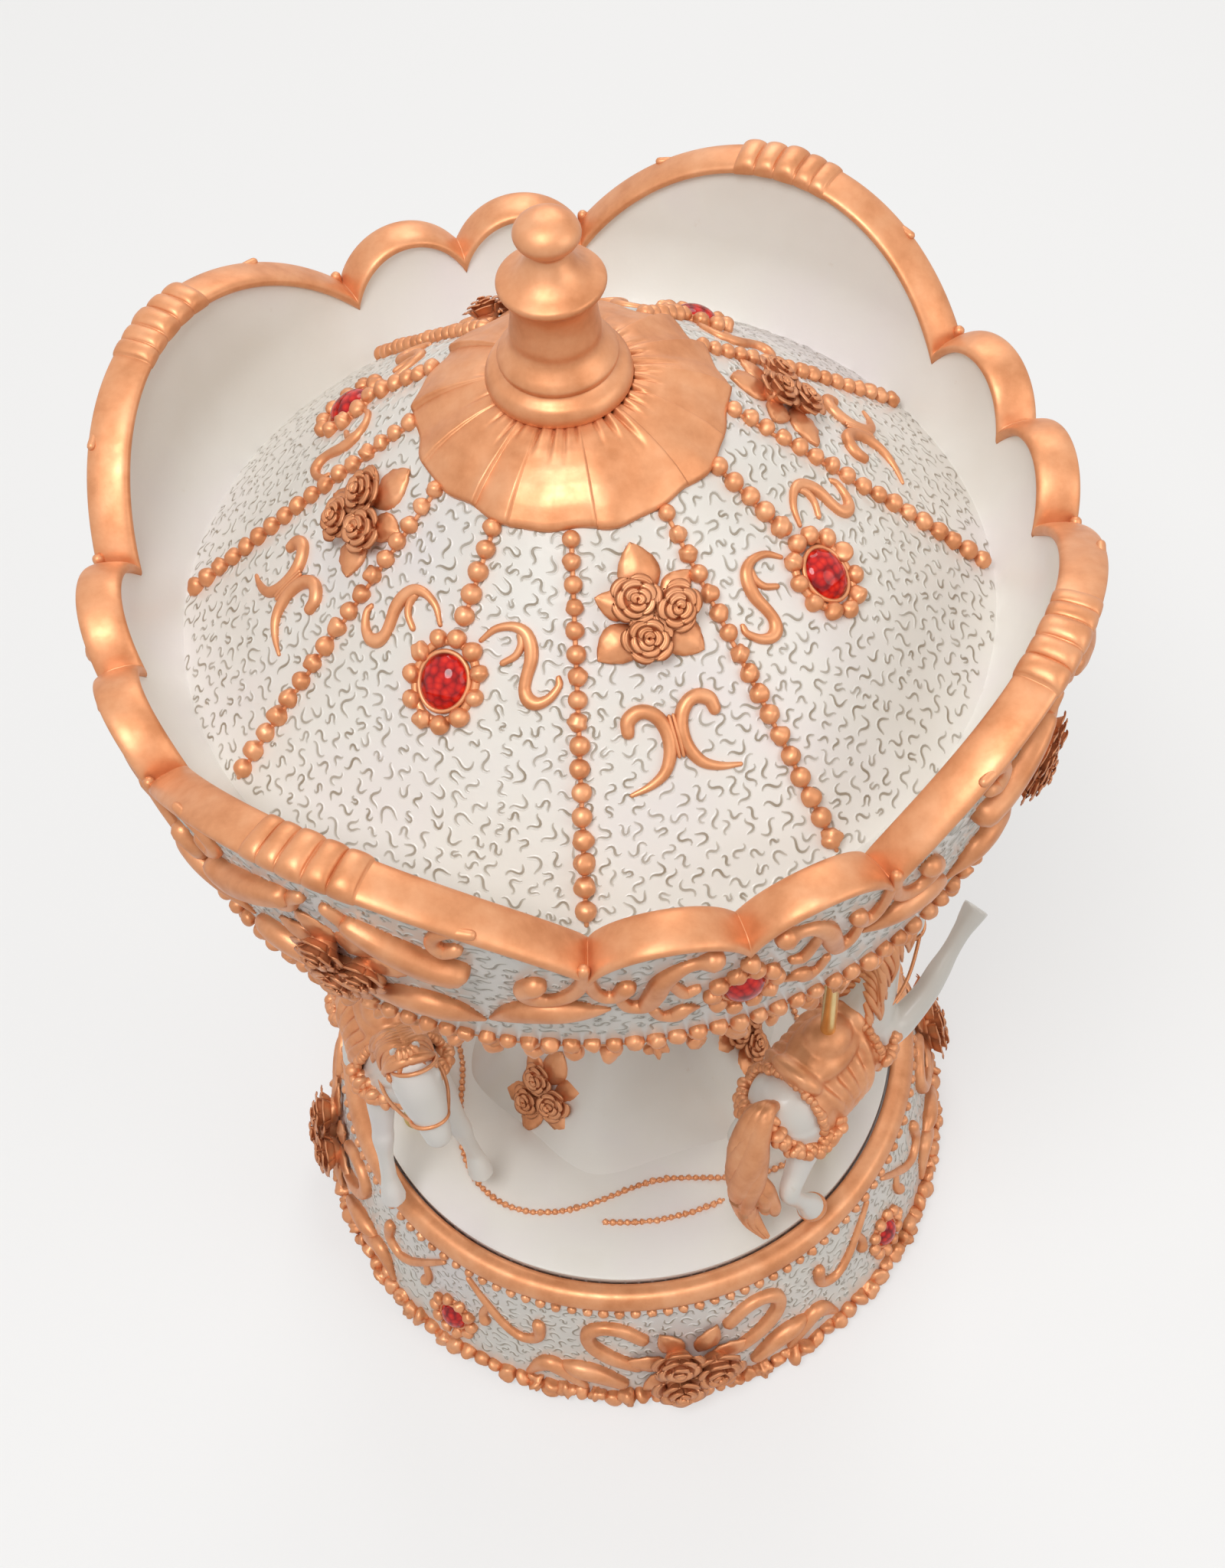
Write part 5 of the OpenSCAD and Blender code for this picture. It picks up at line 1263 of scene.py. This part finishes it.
def tail_and_mane():
    parts = strands(TAIL, 7, TAIL_SIZES, 170, 0.1) + strands(LOCK, 4, LOCK_SIZES, 120, 0)
    t = np.linspace(0, 1, 12)
    for k, (x0, y0, z0) in enumerate(smooth(CREST, 4)):
        for side in (-1, 1):
            reach = RNG.uniform(6.5, 9.0)
            x = x0 + 0.4 - t * 1.5 + 1.0 * np.sin(t * 4 + k) * t
            y = y0 + side * (0.3 + 4.2 * np.sin(t * np.pi / 2) ** 0.9 + 0.3 * np.sin(k * 1.7))
            z = z0 + 0.8 * np.sin(t * np.pi) - reach * t ** 1.4
            parts.append(tube(np.column_stack([x, y, z]), 1.05 * (1 - 0.75 * t ** 2), 7))
    t = np.linspace(0, 1, 10)
    for k in range(4):
        x = 20.2 + 3.0 * t + 0.4 * np.sin(3 * t + k)
        y = 1.5 + (k - 1.5) * 0.8 * (1 + t)
        parts.append(tube(np.column_stack([x, y, 22.2 - 3.6 * t ** 1.3]), 0.8 * (1 - 0.7 * t ** 2), 7))
    return parts


def body_ring(x, angle, out):
    """Point on the horse's barrel at x, angle degrees from the top, out of the skin by out."""
    barrel = np.array(BODY)[:BARREL_STATIONS]
    z, w, h = (np.interp(x, barrel[:, 0], barrel[:, k]) for k in (2, 3, 4))
    a = np.radians(angle)
    return np.stack([x + 0 * a, (w + out) * np.sin(a), z + (h + out) * np.cos(a)], -1)


def saddle():
    """Saddle with its seat, rolls and draped cloth, and the beads along the cloth's edges."""
    along = np.linspace(*SADDLE_ENDS, 60)
    x, a = np.meshgrid(along, np.linspace(-SADDLE_REACH, SADDLE_REACH, 120), indexing="ij")
    edge = 1 - 0.1 * np.cos(x * 0.9) - 0.06 * np.sin(x * 2.1)
    folds = 0.55 * np.sin(np.radians(a) * 2.2 + x * 0.75) + 0.3 * np.sin(x * 1.6 + np.radians(a) * 5)
    low = (np.abs(a) / SADDLE_REACH) ** 1.5
    cloth = shell(body_ring(x, a * edge, 1.0 + low * (0.5 + folds)), body_ring(x, a * edge, 0.1))
    skin = [cloth, blob(-1.4, 0, 0.4, 8.6, 5.8, 3.6), blob(0, 0, 2.6, 5.0, 4.4, 3.6),
            blob(-8.6, 0, 0.6, 2.4, 5.6, 3.6, -28), blob(6.0, 0, 1.2, 2.4, 4.0, 3.4, 22)]
    for k in range(5):
        for side in (-1, 1):
            angle = np.linspace(30, 118, 12)
            fold = body_ring(-8.0 + 3.2 * k + 0.02 * (angle - 30) * (2 - k), side * angle, 1.4)
            skin.append(tube(fold, np.linspace(0.7, 1.3, 12), 10))
    parts = [fused(skin, 0.45, 5)]
    for edge_x in SADDLE_ENDS:
        for k in range(34):
            spot = np.array(edge_x + RNG.uniform(-0.3, 0.3))
            place = body_ring(spot, np.array(-124 + 248 * k / 33), 1.2)
            parts.append(blob(*place, *RNG.uniform(0.75, 1.15, 3)))
    return parts


def garlands():
    parts = []
    for garland in (RUMP_GARLAND, CHEST_GARLAND):
        for spot in smooth(garland, 7):
            for side in (-1, -1, 1, 1):
                place = spot * [1, side, 1] + RNG.uniform(-0.9, 0.9, 3)
                parts.append(blob(*place, *RNG.uniform(0.9, 1.6, 3)))
    return parts


def between(start, end, t):
    """Points at shares t of the way from start to end."""
    return (1 - t) * np.array(start) + t * np.array(end)


def bridle():
    """Noseband and headpiece, then on each side a cheek strap, a rein and a rosette."""
    parts = []
    a = np.linspace(0, TURN, 33)
    for x, z, wide, high, lean in ((26.0, 6.6, 3.35, 3.0, -64), (20.8, 17.6, 4.0, 4.6, -50)):
        c = math.cos(math.radians(lean))
        s = math.sin(math.radians(lean))
        path = [x - s * high * np.sin(a), 2.1 + wide * np.cos(a), z + c * high * np.sin(a)]
        parts.append(tube(np.column_stack(path), 0.42, 8))
    t = np.linspace(0, 1, 20)[:, None]
    for side in (-1, 1):
        strap = between([26.0, 2.2 + side * 3.3, 6.6], [21.5, 1.5 + side * 4.1, 16.6], t)
        rein = between([25.8, 2.2 + side * 3.3, 6.2], [5.0, side * 2.6, 1.6], t)
        rein[:, 1] += side * 2.6 * np.sin(np.pi * t[:, 0])
        rein[:, 2] += -2.2 * np.sin(np.pi * t[:, 0])
        rosette = blob(21.6, 1.5 + side * 4.1, 16.8, 0.9, 0.6, 0.9)
        parts += [tube(strap, 0.28, 7), tube(rein, 0.36, 7), rosette]
    return parts


def tack():
    hooves = [blob(x + 0.3, y, z - 0.6, 3.1, 2.9, 2.0) for x, y, z, _, _ in (HIND_OUT[-1], HIND_IN[-1])]
    return saddle() + garlands() + hooves + bridle()


def at_horse(k):
    """Mover from horse k's own frame to its place on the turntable."""
    turn = math.radians(HORSE_AZ + 120 * k) + math.radians(90 - HORSE_YAW)
    c = math.cos(turn)
    s = math.sin(turn)
    rotate = np.array([[c, s, 0], [-s, c, 0], [0, 0, 1]])
    centre = on_circle(POLE_CIRCLE_R, HORSE_AZ + 120 * k, TABLE_TOP + SADDLE_H)
    return lambda v: v @ rotate + centre


def make_horse_piece(parts, k, name, slot, node):
    piece = Shape()
    for part in parts:
        piece.place(part, at_horse(k))
    piece.make(f"{name}_{k + 1}", "carousel", slot, f"{node}_{k + 1}")


def horses():
    voxel = 0.42
    skins = {raised: fused(horse_body(raised), voxel, 4) for raised in (True, False)}
    for k in range(3):
        make_horse_piece([skins[k == 0]], k, "horse_figure", "pearl", "horse")
        make_horse_piece(tail_and_mane(), k, "horse_hair", "copper", "mane_and_tail")
        make_horse_piece(tack(), k, "horse_tack", "copper", "tack")


def poles():
    """Poles from the turntable to the ceiling, with a collar at each end."""
    low = TABLE_TOP - 1
    high = CEILING_Z + 1
    profile = [(0.01, high), (POLE_R + 1.2, high), (POLE_R + 1.2, CEILING_Z - 0.6),
               (POLE_R + 0.6, CEILING_Z - 1.4), (POLE_R, CEILING_Z - 1.8), (POLE_R, TABLE_TOP + 2.4),
               (POLE_R + 0.5, TABLE_TOP + 1.9), (POLE_R + 1.3, TABLE_TOP + 0.8), (POLE_R + 1.3, low),
               (0.01, low)]
    v, q, _ = revolve(profile, 32)
    shape = Shape()
    for third in THIRDS:
        shape.add(v + on_circle(POLE_CIRCLE_R, HORSE_AZ + third), q)
    shape.make("brass_poles", "carousel", "brass", "horse_poles")


# ---- build ----
canopy_wall()
canopy_rim()
roof_shell()
roof_beads()
roof_details()
roof_texture()
finial()
crown_details()
bead_fringe()
crown_texture()
base_details()
base_ring()
base_texture()
column()
turntable()
horses()
poles()


# ---- floor, light and camera ----
FLOOR_HALF = 30.0
# Distance in metres and glow, near the object and far from it
FLOOR_NEAR = (0.5, 0.5)
FLOOR_FAR = (3.0, 0.86)
FLOOR_COLOUR = (0.42, 0.42, 0.42)
AIR_COLOUR = (1.0, 0.95, 0.88)
AIR_STRENGTH = 0.36
CAMERA_PITCH = 55.62
CAMERA_YAW = 0.227
CAMERA_ROLL = -5.089
CAMERA_LENS = 45.703
CAMERA_Y = -0.1928
CAMERA_Z = 0.4091


def seen_rays(nodes, links):
    """1 where the background is looked at, or shows in metal or glass."""
    path = nodes.new("ShaderNodeLightPath")
    seen = path.outputs["Is Camera Ray"]
    for ray in ("Is Glossy Ray", "Is Transmission Ray"):
        either = nodes.new("ShaderNodeMath")
        either.operation = "MAXIMUM"
        links.new(seen, either.inputs[0])
        links.new(path.outputs[ray], either.inputs[1])
        seen = either.outputs[0]
    return seen


def floor():
    """Pale paper that glows more with distance, only where it is looked at or reflected."""
    mesh = bpy.data.meshes.new("floor")
    half = FLOOR_HALF
    corners = [(-half, -half, 0), (half, -half, 0), (half, half, 0), (-half, half, 0)]
    mesh.from_pydata(corners, [], [(0, 1, 2, 3)])
    obj = bpy.data.objects.new("floor", mesh)
    bpy.context.collection.objects.link(obj)
    paint = Paint("floor_paper")
    paint.inputs["Base Color"].default_value = (*FLOOR_COLOUR, 1)
    paint.inputs["Roughness"].default_value = 0.9
    paint.inputs["Emission Color"].default_value = (*WHITE, 1)
    where = paint.nodes.new("ShaderNodeTexCoord")
    far = paint.nodes.new("ShaderNodeVectorMath")
    far.operation = "LENGTH"
    paint.links.new(where.outputs["Object"], far.inputs[0])
    fade = paint.nodes.new("ShaderNodeMapRange")
    fade.inputs["From Min"].default_value, fade.inputs["To Min"].default_value = FLOOR_NEAR
    fade.inputs["From Max"].default_value, fade.inputs["To Max"].default_value = FLOOR_FAR
    paint.links.new(far.outputs["Value"], fade.inputs["Value"])
    glow = paint.nodes.new("ShaderNodeMath")
    glow.operation = "MULTIPLY"
    paint.links.new(seen_rays(paint.nodes, paint.links), glow.inputs[0])
    paint.links.new(fade.outputs["Result"], glow.inputs[1])
    paint.links.new(glow.outputs[0], paint.inputs["Emission Strength"])
    mesh.materials.append(paint.material)


def area_light(name, place, aim, size, power, colour=WHITE):
    data = bpy.data.lights.new(name, "AREA")
    data.shape = "DISK"
    data.size = size
    data.energy = power
    data.color = colour
    obj = bpy.data.objects.new(name, data)
    obj.location = place
    obj.rotation_mode = "QUATERNION"
    obj.rotation_quaternion = Vector(np.array(aim) - np.array(place)).to_track_quat("-Z", "Y")
    bpy.context.collection.objects.link(obj)


def studio():
    """Soft warm light from all round behind a white backdrop, and three lamps."""
    world = bpy.data.worlds.new("studio")
    bpy.context.scene.world = world
    world.use_nodes = True
    nodes = world.node_tree.nodes
    links = world.node_tree.links
    soft = nodes["Background"]
    soft.inputs["Color"].default_value = (*AIR_COLOUR, 1)
    soft.inputs["Strength"].default_value = AIR_STRENGTH
    white = nodes.new("ShaderNodeBackground")
    white.inputs["Color"].default_value = (*WHITE, 1)
    white.inputs["Strength"].default_value = 1.0
    mix = nodes.new("ShaderNodeMixShader")
    links.new(seen_rays(nodes, links), mix.inputs["Fac"])
    links.new(soft.outputs["Background"], mix.inputs[1])
    links.new(white.outputs["Background"], mix.inputs[2])
    links.new(mix.outputs["Shader"], nodes["World Output"].inputs["Surface"])
    area_light("key_light", (-0.2, -0.36, 1.08), (0, 0, 0.14), 0.45, 5.7, (0.97, 0.985, 1))
    area_light("fill_light", (0.7, -0.35, 0.6), (0, 0, 0.12), 0.6, 1.5, (1, 0.98, 0.95))
    area_light("back_light", (0.1, 0.7, 0.8), (0, 0, 0.15), 0.5, 2.0)


def camera():
    """Camera fitted to the photo: pitched down, then turned and rolled a little."""
    pitch = math.radians(CAMERA_PITCH)
    yaw = math.radians(CAMERA_YAW)
    roll = math.radians(CAMERA_ROLL)
    ahead = np.array((0, math.cos(pitch), -math.sin(pitch)))
    up = np.array((0, math.sin(pitch), math.cos(pitch)))
    right = np.array((1, 0, 0))
    looking = ahead * math.cos(yaw) + right * math.sin(yaw)
    side = right * math.cos(yaw) - ahead * math.sin(yaw)
    x_axis = side * math.cos(roll) + up * math.sin(roll)
    y_axis = up * math.cos(roll) - side * math.sin(roll)
    data = bpy.data.cameras.new("camera")
    data.lens = CAMERA_LENS
    data.sensor_width = 36.0
    obj = bpy.data.objects.new("camera", data)
    place = np.array((0, CAMERA_Y, CAMERA_Z))
    rows = np.column_stack([x_axis, y_axis, -looking, place])
    obj.matrix_world = Matrix([*rows, (0, 0, 0, 1)])
    bpy.context.collection.objects.link(obj)
    bpy.context.scene.camera = obj


floor()
studio()
camera()
bpy.context.scene.view_settings.view_transform = "Standard"
